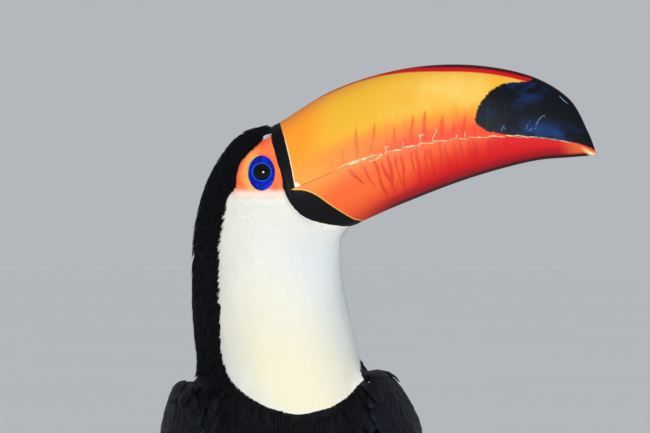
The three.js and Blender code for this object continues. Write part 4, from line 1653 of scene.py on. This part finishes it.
# %% Long feather maker
def long_feather(form, root, tip, width, lift, rng, stations=30, samples=11, lean=0.35):
    """One closed feather between two places on a form; width and lift are in millimetres."""
    s = np.linspace(0, 1, stations)
    along = root[0] + (tip[0] - root[0]) * s
    across = root[1] + (tip[1] - root[1]) * s
    middle, up = form.at(along, across)
    ahead = unit(np.gradient(middle, axis=0))
    aside = unit(np.cross(ahead, up)) * form.side
    run = np.concatenate([[0], np.cumsum(np.linalg.norm(np.diff(middle, axis=0), axis=1))]) / MM
    left = run[-1] - run
    half = width / 2 * np.sqrt(np.clip(1 - (1 - np.minimum(left / (0.55 * width), 1)) ** 2, 0.004, 1))
    half = half * (0.35 + 0.65 * between(run, -1, 0.3 * run[-1]))
    u = np.linspace(-1, 1, samples)
    u = np.sign(u) * np.abs(u) ** 1.3
    cut = np.ones((stations, samples))
    for place in rng.uniform(0.25, 0.97, 3):
        edge = rng.choice([-1, 1])
        notch = np.exp(-(((s - place) / 0.015) ** 2))[:, None] * np.where(u * edge > 0.5, 1, 0)
        cut -= rng.uniform(0.06, 0.2) * notch
    spread = u[None, :] * half[:, None] * cut
    spots = middle[:, None] + aside[:, None] * spread[:, :, None] * MM
    spots, normals, _ = form.ground.nearest(spots.reshape(-1, 3))
    shape = (stations, samples)
    shaft = 0.3 * np.exp(-((spread / 0.5) ** 2)) * (1 - 0.7 * s[:, None])
    high = lift + 0.045 * width * (1 - u[None] ** 2) + shaft - lean * u[None]
    high = high - 0.9 * between(s, 0.12, 0.0)[:, None]
    thick = np.tile(0.34 * (1 - 0.75 * np.abs(u) ** 3), stations)
    top = spots + normals * (high.reshape(-1, 1) * MM)
    under = top - normals * (thick[:, None] * MM)
    marks = {
        "shaft_mm": np.repeat(run, samples), "side_mm": spread.ravel(),
        "along": np.repeat(s, samples), "tone": np.full(stations * samples, rng.random()),
    }
    return top, under, marks, shape


def shell_faces(shape, first, flip):
    """Faces of a closed shell whose top grid comes first and whose under grid follows it."""
    rows, columns = shape
    size = rows * columns
    grid = first + np.arange(size).reshape(shape)
    a, b, c, d = grid[:-1, :-1], grid[:-1, 1:], grid[1:, 1:], grid[1:, :-1]
    top = np.stack([a, b, c, d], -1).reshape(-1, 4)
    under = np.stack([d, c, b, a], -1).reshape(-1, 4) + size
    border = np.concatenate([grid[0, :], grid[1:, -1], grid[-1, -2::-1], grid[-2:0:-1, 0]])
    after = np.roll(border, -1)
    edge = np.stack([border, border + size, after + size, after], -1)
    faces = np.vstack([top, under, edge])
    return (faces[:, ::-1] if flip else faces).tolist()


def lay_feathers(name, form, feathers, seed, **shape_args):
    """A piece made of long feathers, each given as (root, tip, width, lift)."""
    rng = np.random.default_rng(seed)
    places, faces, marks, patches, first = [], [], [], [], 0
    for root, tip, width, lift in feathers:
        top, under, mark, shape = long_feather(form, root, tip, width, lift, rng, **shape_args)
        _, _, triangle = skin_ground.nearest(top[:1])
        corner = skin_ground.unwrap[triangle[0]].mean(0)
        patch = corner + PATCH * np.stack([mark["side_mm"] / width * 0.8, mark["along"] - 0.5], 1)
        faces += shell_faces(shape, first, form.side < 0)
        places += [top, under]
        patches += [patch, patch]
        marks += [mark, mark]
        first += 2 * len(top)
    joined = {key: np.concatenate([mark[key] for mark in marks]) for key in marks[0]}
    return build_mesh(name, np.vstack(places), faces, patches, **joined)


def feather_finish(name, colour, edge, roughness):
    """Barbs run out from the shaft at a slant, so the ridges follow both distances."""
    finish = Finish(name, Roughness=roughness, Specular_IOR_Level=0.35)
    shaft, aside = finish.attribute("shaft_mm"), abs(finish.attribute("side_mm"))
    wave = finish.noise(0.004, detail=2)
    barb = ((shaft - 1.3 * aside + 0.6 * wave) * 9.0).math("SINE", 0)
    tone, along = finish.attribute("tone"), finish.attribute("along")
    finish.colour = colour
    finish.paint(along.between(0.9, 1.0) * 0.6, edge)
    finish.paint(tone * 0.3, BLACK)
    finish.set("Roughness", roughness + 0.1 * wave - 0.12 * (aside.between(0.45, 0.2)))
    finish.bump(barb, 0.00006, 0.5)
    return finish


quill_finish = feather_finish("flight_feather", rgb(19, 21, 28), rgb(38, 34, 33), 0.4)
print("long feathers are ready")

# %% [markdown]
# ## Folded wings
# From the bend down, a folded wing shows small scale-like lesser coverts, a row of median and
# a row of greater coverts, then the long panel of secondaries, with the tertials nearest the
# back on top. Primaries come out from under them and reach the tip. Each row is a short rule:
# how many feathers, where the first and last have their roots and tips, width and height.


# %% Rows of wing feathers
def row(count, first, last, width, lift, sway=0.0):
    """Feathers in even steps from first to last, each given as (root, tip)."""
    (root_a, tip_a), (root_b, tip_b) = first, last
    made = []
    for step in np.linspace(0, 1, count):
        root = [a + (b - a) * step for a, b in zip(root_a, root_b)]
        tip = [a + (b - a) * step for a, b in zip(tip_a, tip_b)]
        tip[0] += sway * math.sin(math.pi * step)
        wide = width[0] + (width[1] - width[0]) * step
        high = lift[0] + (lift[1] - lift[0]) * step
        made.append((root, tip, wide, high))
    return made


PRIMARIES = row(8, ((0.40, 0.08), (0.955, 0.2)), ((0.44, 0.34), (0.90, 0.62)), (12, 14), (-2.6, -1.7), 0.055)
SECONDARIES = row(9, ((0.34, 0.16), (0.83, 0.5)), ((0.33, 0.72), (0.76, 0.86)), (14, 17), (-1.7, -0.6), 0.01)
TERTIALS = row(3, ((0.30, 0.74), (0.72, 0.83)), ((0.28, 0.9), (0.64, 0.93)), (19, 21), (-0.4, 0.1))
PRIMARY_COVERTS = row(6, ((0.30, 0.07), (0.5, 0.11)), ((0.32, 0.24), (0.47, 0.3)), (9, 10), (-1.2, -0.9))
ALULA = row(3, ((0.2, 0.06), (0.42, 0.06)), ((0.2, 0.12), (0.36, 0.12)), (8, 9), (-0.7, -0.4))
GREATER = row(13, ((0.25, 0.1), (0.41, 0.2)), ((0.25, 0.92), (0.41, 0.93)), (11, 13), (-0.4, 0.1))
MEDIAN = row(15, ((0.185, 0.08), (0.30, 0.14)), ((0.185, 0.93), (0.29, 0.95)), (10, 11), (-0.1, 0.3))


def wing_piece(side, part, feathers, seed, **shape_args):
    name = "wing_" + side + "_" + part
    return quill_finish.on(lay_feathers(name, wings[side], feathers, seed, **shape_args))


def scale_roots(form, seed):
    """Quincunx roots over the top of a wing, their sizes, and their direction toward the tip."""
    rng = np.random.default_rng(seed)
    spots, along = [], 0.0
    while along < 0.27:
        grown = 1 + 2.4 * along
        count = round(21 / grown)
        for place in (np.arange(count) + rng.uniform(0, 1)) / count:
            spots.append((along + rng.normal(0, 0.0017), 0.03 + 0.94 * place + rng.normal(0, 0.006), grown))
        along += 0.0145 * grown
    along, across, grown = np.array(spots).T
    places, normals = form.at(along, np.clip(across, 0.02, 0.98))
    ahead, _ = form.at(along + 0.02, np.clip(across, 0.02, 0.98))
    triangle = skin_ground.nearest(places)[2]
    return (places, normals, skin_ground.unwrap[triangle].mean(1)), grown, unit(ahead - places)


for number, (side, wing) in enumerate(wings.items()):
    flight = wing_piece(side, "flight", PRIMARIES + SECONDARIES + TERTIALS, SEED + 10 + number)
    covert_rows = ALULA + PRIMARY_COVERTS + GREATER + MEDIAN
    coverts = wing_piece(side, "coverts", covert_rows, SEED + 12 + number, stations=16, samples=9)
    roots, grown, ahead = scale_roots(wing, SEED + 14 + number)
    lesser = grow(
        "wing_" + side + "_lesser", wing.ground, roots, SCALES, 8.5 * grown * MM, 6.4 * grown * MM,
        0.8 * MM, way=ahead,
    )
    done(flight, "plumage_black", "wing_" + side)
    done(coverts, "plumage_black")
    done(covert_plumage.on(lesser), "plumage_black")

# %% [markdown]
# ## Tail
# The tail is ten broad black feathers with rounded ends. The middle pair lies on top and each
# next pair is a little lower, further out and shorter, so that their tips make steps.

# %% Tail feathers
TAIL_WIDTH = 17.5

tail_feathers = []
for pair in range(4, -1, -1):
    for side in (-1, 1):
        share = 0.5 + side * (0.075 + 0.087 * pair)
        root = (-0.02, 0.5 + side * (0.05 + 0.05 * pair))
        tip = (0.995 - 0.022 * pair - 0.004 * pair**2, share)
        tail_feathers.append((root, tip, TAIL_WIDTH, -0.25 - 0.62 * pair - 0.15 * (side > 0)))
tail = lay_feathers("tail_feathers", tail_form, tail_feathers, SEED + 20, stations=40, lean=0.0)
done(quill_finish.on(tail), "plumage_black", "tail")

# %% [markdown]
# ## Black coat of the head, neck and body
# Round the face and crown the feathers are short and hair-like, on the neck they are longer
# locks, and on the trunk they are small overlapping vanes. Feathers under the wings would
# never show, so roots there are left out. The head, neck and shoulder feathers lie along one
# form of skin, wings and tail together, so that they lap over the wing. The trunk's lie on the
# skin and the tail only, so that they tuck under the wing.

# %% One form for the whole body
def joined_ground(*nodes):
    """The skin together with smoothed copies of solid nodes, as one ground."""
    skin_copy = new_piece("skin_copy", skin.data.copy())
    only(*[form_of(node, 1.8 * MM) for node in nodes], skin_copy)
    bpy.ops.object.join()
    both = Ground(skin_copy)
    bpy.data.objects.remove(skin_copy)
    return both


body_ground = joined_ground("wing_left", "wing_right", "tail")
tail_ground = joined_ground("tail")
print("grounds of", len(body_ground.corners), "and", len(tail_ground.corners), "triangles")

# %% [markdown]
# ## Where each coat grows
# Every root belongs to one coat, chosen by masks on the skin's points: its place against the
# face, the bib, the white rump and the red undertail, and whether wing feathers lie over it.
# A mask becomes a spacing in millimetres, and a spacing of 0 means bare.

# %% Masks on the skin
FORM_REACH = 0.006
FEATHER_REACH = 0.012
FEATHER_NEAR = 0.0037


def under_wing(points):
    """Whether the solid wing and real wing feathers both lie over each point of the skin."""
    _, normals, _ = skin_ground.nearest(points)
    covered = np.zeros(len(points), bool)
    for side, wing in wings.items():
        feathers = trees_of(*[f"wing_{side}_{part}" for part in ("flight", "coverts", "lesser")])
        for index, (spot, way) in enumerate(zip(points.tolist(), normals.tolist())):
            if wing.ground.tree.ray_cast(spot, way, FORM_REACH)[0] is not None:
                hits = [tree.ray_cast(spot, way, FEATHER_REACH)[0] for tree in feathers]
                hits += [tree.find_nearest(spot, FEATHER_NEAR)[0] for tree in feathers]
                covered[index] |= any(hit is not None for hit in hits)
    return covered


x, y, z = (skin_ground.points / MM).T
face_in = face_depth(skin_ground.points)
horn_in = horn_depth(skin_ground.points)
bib_in = bib_depth(skin_ground.points)
strip = (x > -13.5) & (z < 464) & (face_in > -6)
dark = (face_in < 0.2) & (horn_in < 0.6) & (bib_in < 0.6) & ~strip
covered = under_wing(skin_ground.points)
near_wing = np.full(len(skin_ground.points), 99.0)
for wing in wings.values():
    gaps = [wing.ground.tree.find_nearest(spot)[3] for spot in skin_ground.points.tolist()]
    near_wing = np.minimum(near_wing, np.array(gaps) / MM)
wing_stub = (z < WING_CUT_Z / MM + 7) & (np.abs(x) > 7) & (near_wing < 3.5)
covered |= wing_stub
thigh = (z < 222) & (np.abs(x) > 14) & (y < 0) & (z < 226 - 0.1 * np.abs(x))
rump_in, vent_in = rump_depth(skin_ground.points), vent_depth(skin_ground.points)


head_gap = np.where(dark & (z > 398), 1.7 - 0.5 * between(face_in, -9, -1) + 0.5 * between(z, 420, 398), 0)
neck_gap = np.where(dark & (z <= 398) & (z > 322) & ~covered & (near_wing > 7), 2.6, 0)
plain = (rump_in < 0) & (vent_in < 0) & ~thigh
body_gap = np.where(dark & (z <= 322) & ~covered & plain, 3.7 - 0.8 * between(z, 300, 322), 0)
thigh_gap = np.where(thigh & ~covered, 2.6, 0)
rump_gap = np.where((rump_in >= 0) & ~wing_stub, 3.2, 0)
vent_gap = np.where((vent_in >= 0) & (rump_in < 0) & ~thigh & ~covered, 2.9, 0)
print("under the wings:", round(100 * covered.mean()), "% of the skin")

# %% [markdown]
# ## The coats
# One helper scatters a coat's roots and another lays its tufts and finishes it. Each coat then
# only says how long, wide and high its feathers are: hair-like on the head, longer on the
# neck, small vanes on the trunk, and broad scapulars that point outward over the wing's front.


# %% Grow the black, white and red coats
def roots_for(gap, number):
    """Roots spaced as the gap at the skin's points says; a triangle with a bare corner is bare."""
    here = gap[skin_ground.corners]
    spacing = np.where((here > 0).all(1), here.mean(1), 0)
    return skin_ground.scatter(lambda _: spacing, SEED + number)


def coat(name, finish, slot, ground, roots, shapes, length, width, rise, **laid):
    piece = grow("coat_" + name, ground, roots, shapes, length * MM, width * MM, rise * MM, **laid)
    done(finish.on(piece), slot)


crown = roots_for(head_gap, 30)
short = np.maximum(between(face_depth(crown[0]), -14, -1), between(horn_depth(crown[0]), -10, 0))
BLACK_COAT = (black_plumage, "plumage_black")
rise = 0.85 * coat_depth(crown[0])
coat("head", *BLACK_COAT, body_ground, crown, COARSE_LOCKS, 6.5 - 3.6 * short, 1.9, rise, plush=0.45)

neck = roots_for(neck_gap, 31)
coat("neck", *BLACK_COAT, body_ground, neck, COARSE_LOCKS, 10, 3.2, 0.9 * coat_depth(neck[0]), plush=0.4)

body = roots_for(body_gap, 32)
body_shapes = SMALL_VANES + COARSE_LOCKS
coat("body", *BLACK_COAT, tail_ground, body, body_shapes, 14, 6.5, 0.9 * coat_depth(body[0]), plush=0.6)

beside = (near_wing < 8) & (z > 236) & (z < 337)
shoulder = roots_for(np.where(dark & beside & ~covered, 4.4, 0), 36)
way = lie_at(shoulder[0], shoulder[1], 0.05, np.random.default_rng(SEED + 37))
outward = np.sign(shoulder[0][:, :1]) * np.array([[1.0, 0, 0]])
way = unit(way + 0.45 * (outward - (outward * shoulder[1]).sum(1, keepdims=True) * shoulder[1]))
covert_coat = (covert_plumage, "plumage_black")
coat("scapulars", *covert_coat, body_ground, shoulder, SCALES, 18, 8.5, 2.4, way=way, turn=0.5)

leg_ground = joined_ground("tarsus_left", "tarsus_right")
coat("thighs", *BLACK_COAT, leg_ground, roots_for(thigh_gap, 33), COARSE_LOCKS, 8.5, 3.0, 1.6, plush=0.4)

white_coat = (white_plumage, "plumage_bib")
coat("rump", *white_coat, tail_ground, roots_for(rump_gap, 34), SMALL_VANES, 15, 5.6, 1.6, plush=0.6)
coat("vent", red_plumage, None, tail_ground, roots_for(vent_gap, 35), SMALL_VANES, 13, 5.2, 1.8, plush=0.6)

# %% [markdown]
# ## Legs and feet
# The bare tarsus is plated in front with a row of overlapping shields, and each toe carries
# the same shields on top and pads below. Copies of the solid tarsus and foot are fused and
# smoothed, and then the shields are raised by a formula: rings down the tarsus, and rings
# along each toe, told by the angle round the perch that the toes grasp.

# %% Shape the legs
PERCH_LOW, PERCH_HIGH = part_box("perch")
PERCH_Y, PERCH_Z = ((PERCH_LOW + PERCH_HIGH) / 2).yz / MM
PERCH_RADIUS = 15.0


def make_leg(side):
    leg = copy_of("leg_" + side, "tarsus_" + side, "foot_" + side)
    edit(leg, lambda: bpy.ops.transform.shrink_fatten(value=0.5 * MM))
    remesh(leg, 0.6 * MM, 8)
    points, normals = points_of(leg), normals_of(leg)
    _, y, z = (points / MM).T
    turn = np.degrees(np.arctan2(z - PERCH_Z, y - PERCH_Y))
    from_perch = np.hypot(y - PERCH_Y, z - PERCH_Z)
    on_toe = between(from_perch, 25, 21)
    tarsus_rings = np.mod(z / 2.3, 1)
    toe_rings = np.mod(np.abs(turn - 90) / 8.5, 1)
    shield = (1 - on_toe) * tarsus_rings + on_toe * toe_rings
    front = between(normals[:, 1], 0.3, -0.2) * (1 - on_toe)
    facing_out = (normals[:, 1] * (y - PERCH_Y) + normals[:, 2] * (z - PERCH_Z)) / from_perch
    outer = on_toe * between(facing_out, 0.1, 0.5)
    plated = np.maximum(front, outer)
    step = 0.22 * shield**0.7 - 0.25 * between(shield, 0.1, 0.0) - 0.1
    pads = 0.12 * np.sin(turn / 5.0) * on_toe * (1 - plated)
    move_points(leg, points + normals * ((plated * step + pads)[:, None] * MM))
    write_attribute(leg, "groove", plated * between(shield, 0.16, 0.02))
    write_attribute(leg, "plated", plated)
    only(leg)
    bpy.ops.object.shade_smooth()
    unwrap(leg, 0.003)
    return leg


leg_finish = Finish("leg_scales", Roughness=0.5)
cell = leg_finish.node(
    "ShaderNodeTexVoronoi", {"feature": "DISTANCE_TO_EDGE"}, {"Vector": leg_finish.place(), "Scale": 900}
)
groove, plated = leg_finish.attribute("groove"), leg_finish.attribute("plated")
dust = leg_finish.noise(0.004, detail=4)
leg_finish.colour = rgb(88, 108, 126)
leg_finish.paint(dust.between(0.35, 0.7), rgb(116, 136, 150))
leg_finish.paint((1 - plated) * (1 - cell.between(0.0, 0.1)) * 0.6, rgb(58, 70, 84))
leg_finish.paint(groove * 0.8, rgb(52, 62, 76))
leg_finish.set("Roughness", 0.42 + 0.2 * dust)
leg_finish.bump(cell.between(0.0, 0.2) * (1 - plated * 0.8) + 0.3 * dust, 0.00018, 0.7)
for side in ("left", "right"):
    leg = leg_finish.on(make_leg(side))
    done(leg, "leg_skin", "tarsus_" + side, "foot_" + side)

# %% [markdown]
# ## Claws
# Each toe ends in a curved, laterally flattened claw, black and slightly glossy like horn.
# Copies of the solid claws are rounded by subdivision and ridged lengthwise in the material.

# %% Shape the claws
claw_finish = Finish("claw_horn", Roughness=0.3, Coat_Weight=0.2, Coat_Roughness=0.25)
grain = claw_finish.noise(0.0012, detail=3, stretch=(1, 0.4, 0.4))
worn = claw_finish.noise(0.006, detail=2)
claw_finish.colour = rgb(22, 20, 22)
claw_finish.paint(worn.between(0.4, 0.8), rgb(62, 56, 54))
claw_finish.set("Roughness", 0.26 + 0.2 * grain)
claw_finish.bump(grain, 0.00006, 0.6)
for node in sorted(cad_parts):
    if node.startswith("claw_"):
        claw = copy_of(node + "_horn", node)
        low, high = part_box(node)
        middle = (low + high) / 2
        edit(
            claw,
            lambda: bpy.ops.mesh.tris_convert_to_quads(),
            lambda: bpy.ops.transform.resize(value=(1.05, 1.16, 1.16), center_override=middle),
        )
        modify(claw, "SUBSURF", levels=2)
        only(claw)
        bpy.ops.object.shade_smooth()
        done(claw_finish.on(claw), "claw", node)

# %% [markdown]
# ## The perch
# The perch is a short cut length of a branch. A cylinder is sliced into many rings, and then
# the bark is raised by a formula: long ridges that wander and split, a few knots and a slight
# swell. Both ends are sawn flat, so they show growth rings, saw marks and a bark rim.

# %% Shape the perch
SLICES = 150
perch_middle = (PERCH_LOW + PERCH_HIGH) / 2
half_length = (PERCH_HIGH.x - PERCH_LOW.x) / 2
bpy.ops.object.select_all(action="DESELECT")
bpy.ops.mesh.primitive_cylinder_add(
    vertices=128, radius=PERCH_RADIUS * MM, depth=2 * half_length, location=(0, 0, 0), end_fill_type="NGON"
)
bpy.context.object.rotation_euler = (0, math.pi / 2, 0)
bpy.context.object.location = perch_middle
perch = applied("perch_branch")


def slice_perch():
    for place in np.linspace(-half_length, half_length, SLICES)[1:-1]:
        bpy.ops.mesh.select_all(action="SELECT")
        bpy.ops.mesh.bisect(plane_co=(perch_middle.x + place, 0, 0), plane_no=(1, 0, 0))


def inset_ends():
    bpy.ops.mesh.select_mode(type="FACE")
    bpy.ops.object.mode_set(mode="OBJECT")
    for face in perch.data.polygons:
        face.select = abs(face.normal.x) > 0.99
    bpy.ops.object.mode_set(mode="EDIT")
    for thickness in (0.0008, 0.0012, 0.004, 0.004):
        bpy.ops.mesh.inset(thickness=thickness)


edit(perch, slice_perch, inset_ends)
points = points_of(perch)
x, y, z = (points / MM).T
y, z = y - PERCH_Y, z - PERCH_Z
turn = np.arctan2(z, y)
radius = np.hypot(y, z)
on_bark = between(radius, PERCH_RADIUS - 1.2, PERCH_RADIUS - 0.2)
rng = np.random.default_rng(SEED + 40)
ridges = np.zeros(len(points))
for waves, weight in ((5, 0.5), (9, 0.6), (14, 0.6), (23, 0.5), (37, 0.35)):
    drift = rng.uniform(0, 6.28, 3)
    wander = 0.5 * np.sin(x / rng.uniform(11, 19) + drift[0]) + 0.4 * np.sin(x / rng.uniform(5, 8) + drift[1])
    ridges += weight * (1 - np.abs(np.sin(waves * (turn + 0.12 * wander) / 2 + drift[2])) ** 0.6)
ridges -= ridges.mean()
cross_cracks = 0.25 * np.sin(x * 1.9 + 2.2 * np.sin(3 * turn + x / 9)) * np.sin(x / 7 + 5 * turn)
knots = np.zeros(len(points))
for place, angle, size in ((-62, 1.9, 7.5), (58, -0.7, 6.5), (84, 2.6, 5.0), (-96, -2.0, 5.5)):
    off = np.hypot(x - place, PERCH_RADIUS * ((turn - angle + math.pi) % (2 * math.pi) - math.pi)) / size
    rim = 1.5 * np.exp(-(off**2) * 2) - 1.1 * np.exp(-((off - 0.05) ** 2) * 22)
    knots += rim + 0.4 * np.cos(9 * off) * np.exp(-(off**2))
gripped = np.exp(-(((np.abs(x) - 23) / 15) ** 4))
bark = (0.55 * ridges + cross_cracks) * (1 - 0.55 * gripped) + knots * (1 - gripped) - 0.3
swell = 0.25 * np.sin(x / 31 + 1) + 0.2 * np.sin(2 * turn + x / 50)
bark = np.minimum(bark + swell * (1 - gripped), 0.55 - 0.5 * gripped)
grown = 1 + on_bark * bark / PERCH_RADIUS
points[:, 1] = (PERCH_Y + y * grown) * MM
points[:, 2] = (PERCH_Z + z * grown) * MM
move_points(perch, points)
write_attribute(perch, "bark", np.where(on_bark > 0.5, bark, 0))
only(perch)
bpy.ops.object.shade_smooth_by_angle(angle=math.radians(50))

print("bark from", round(bark.min(), 2), "to", round(bark.max(), 2), "mm")

# %% [markdown]
# ## Bark and sawn wood
# Bark is pale on its ridges and dark in its cracks, with grit and some lichen. A sawn end shows
# growth rings round the pith, the bark's dark rim and the marks of the saw. The stored height
# of the bark drives its colour, so that colour and shape always agree.

# %% Finish the perch
bark_finish = Finish("branch", Roughness=0.85)
relief = bark_finish.attribute("bark")
end = (abs(bark_finish.axis("X")) - (half_length / MM - 0.35)).between(-0.1, 0.1)
off_y, off_z = bark_finish.axis("Y") - PERCH_Y, bark_finish.axis("Z") - PERCH_Z
from_pith = ((off_y + 1.5) * (off_y + 1.5) + (off_z - 1.0) * (off_z - 1.0)).math("SQRT", 0)
fine = bark_finish.noise(0.0022, detail=6, rough=0.72, stretch=(0.3, 1, 1))
grit = bark_finish.noise(0.0007, detail=3, rough=0.7, stretch=(0.5, 1, 1))
patch = bark_finish.noise(0.022, detail=3)
bark_finish.colour = rgb(44, 34, 28)
bark_finish.paint(relief.between(-1.0, 0.5), rgb(128, 108, 88))
bark_finish.paint(fine.between(0.5, 0.66) * 0.6, rgb(158, 142, 122))
bark_finish.paint(fine.between(0.44, 0.36) * 0.7, rgb(36, 27, 22))
bark_finish.paint(grit.between(0.5, 0.75) * 0.35, rgb(46, 36, 30))
bark_finish.paint(patch.between(0.56, 0.66) * fine.between(0.4, 0.55) * 0.75, rgb(152, 162, 138))
growth = ((from_pith + 1.2 * bark_finish.noise(0.012)) * 4.2).math("SINE", 0).between(-0.4, 1.0)
wood = bark_finish.mix(growth, rgb(206, 172, 124), rgb(158, 118, 76))
wood = bark_finish.mix(from_pith.between(12.6, 13.6), wood, rgb(84, 60, 42))
saw = bark_finish.noise(0.0016, detail=2, stretch=(1, 0.06, 1))
bark_finish.paint(end, bark_finish.mix(saw * 0.3, wood, rgb(120, 88, 58)))
bark_finish.set("Roughness", 0.9 - 0.22 * end)
bark_finish.bump((fine + 0.3 * grit) * (1 - end) + saw * end * 0.4 + growth * end * 0.2, 0.0012, 0.9)
done(bark_finish.on(perch), "perch_bark", "perch")

# %% [markdown]
# ## The stand
# The base is a varnished hardwood board with rounded corners and a softened upper edge. Two
# steel rods rise from flanges and collars on it and are let into the perch from below. The
# board is a block with bevelled edges. Each metal part is a cylinder with bevelled rims, which
# is all that a lathe would give it.

# %% Board and rods
BASE_LOW, BASE_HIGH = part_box("stand_base")
CORNER_ROUND = 0.04
RIM_ROUND = 0.003

base_size = BASE_HIGH - BASE_LOW
bpy.ops.object.select_all(action="DESELECT")
bpy.ops.mesh.primitive_cube_add(size=1, location=(BASE_LOW + BASE_HIGH) / 2, scale=base_size)
board = applied("stand_board")


def bevel_lines(chosen, offset, segments):
    """Bevels the edges that chosen picks by the heights of their ends, and any corner selected."""
    bpy.ops.mesh.select_mode(type="EDGE")
    bpy.ops.object.mode_set(mode="OBJECT")
    heights = points_of(board)[:, 2]
    for line in board.data.edges:
        line.select = bool(chosen(*heights[list(line.vertices)]))
    bpy.ops.object.mode_set(mode="EDIT")
    bpy.ops.mesh.bevel(offset=offset, segments=segments)


edit(
    board,
    lambda: bpy.ops.mesh.select_all(action="DESELECT"),
    lambda: bevel_lines(lambda a, b: abs(a - b) > 0.5 * base_size.z, CORNER_ROUND, 24),
    lambda: bevel_lines(lambda a, b: min(a, b) > BASE_HIGH.z - 1e-5, RIM_ROUND, 5),
)
only(board)
bpy.ops.object.shade_smooth_by_angle(angle=math.radians(40))

board_finish = Finish("varnished_wood", Roughness=0.35, Coat_Weight=0.5, Coat_Roughness=0.12)
figure = board_finish.noise(0.05, detail=3, stretch=(0.14, 1, 1))
rings = ((board_finish.axis("Y") * 0.16 + 9 * figure) * 2.4).math("SINE", 0).between(-0.8, 1.0)
pores = board_finish.noise(0.0011, detail=3, rough=0.7, stretch=(0.05, 1, 1)).between(0.6, 0.72)
board_finish.colour = rgb(78, 46, 30)
board_finish.paint(rings, rgb(118, 74, 46))
board_finish.paint(figure.between(0.4, 0.7) * 0.4, rgb(62, 36, 24))
board_finish.paint(pores * 0.7, rgb(40, 24, 16))
board_finish.set("Roughness", 0.32 + 0.15 * pores)
board_finish.bump(pores * -1, 0.0001, 0.5)
done(board_finish.on(board), "stand_wood", "stand_base")

steel = Finish("brushed_steel", Metallic=1.0, Roughness=0.3)
brushed = steel.noise(0.0005, detail=2, stretch=(0.3, 0.3, 6))
steel.colour = rgb(196, 198, 200)
steel.paint(brushed, rgb(150, 152, 155))
steel.set("Roughness", 0.24 + 0.16 * brushed)
steel.bump(brushed, 0.00003, 0.4)


def turned(name, radius, low, high, x, y, bevel):
    """A round part turned on the lathe, with bevelled rims."""
    bpy.ops.object.select_all(action="DESELECT")
    middle = (x, y, (low + high) / 2)
    bpy.ops.mesh.primitive_cylinder_add(vertices=64, radius=radius, depth=high - low, location=middle)
    made = applied(name)
    modify(made, "BEVEL", width=bevel, segments=3, limit_method="ANGLE", angle_limit=math.radians(60))
    return made


for side in ("left", "right"):
    low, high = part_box("stand_rod_" + side)
    middle = (low + high) / 2
    radius = (high - low).x / 2
    rod = turned("rod", radius, BASE_HIGH.z, high.z + 0.003, middle.x, middle.y, 0.0004)
    flange = turned("flange", 0.0095, BASE_HIGH.z, BASE_HIGH.z + 0.0025, middle.x, middle.y, 0.0008)
    collar = turned("collar", 0.0062, BASE_HIGH.z + 0.0025, BASE_HIGH.z + 0.0105, middle.x, middle.y, 0.001)
    only(flange, collar, rod)
    bpy.ops.object.join()
    rod = bpy.context.object
    rod.name = "stand_rod_steel_" + side
    bpy.ops.object.shade_smooth_by_angle(angle=math.radians(40))
    done(steel.on(rod), "stand_steel", "stand_rod_" + side)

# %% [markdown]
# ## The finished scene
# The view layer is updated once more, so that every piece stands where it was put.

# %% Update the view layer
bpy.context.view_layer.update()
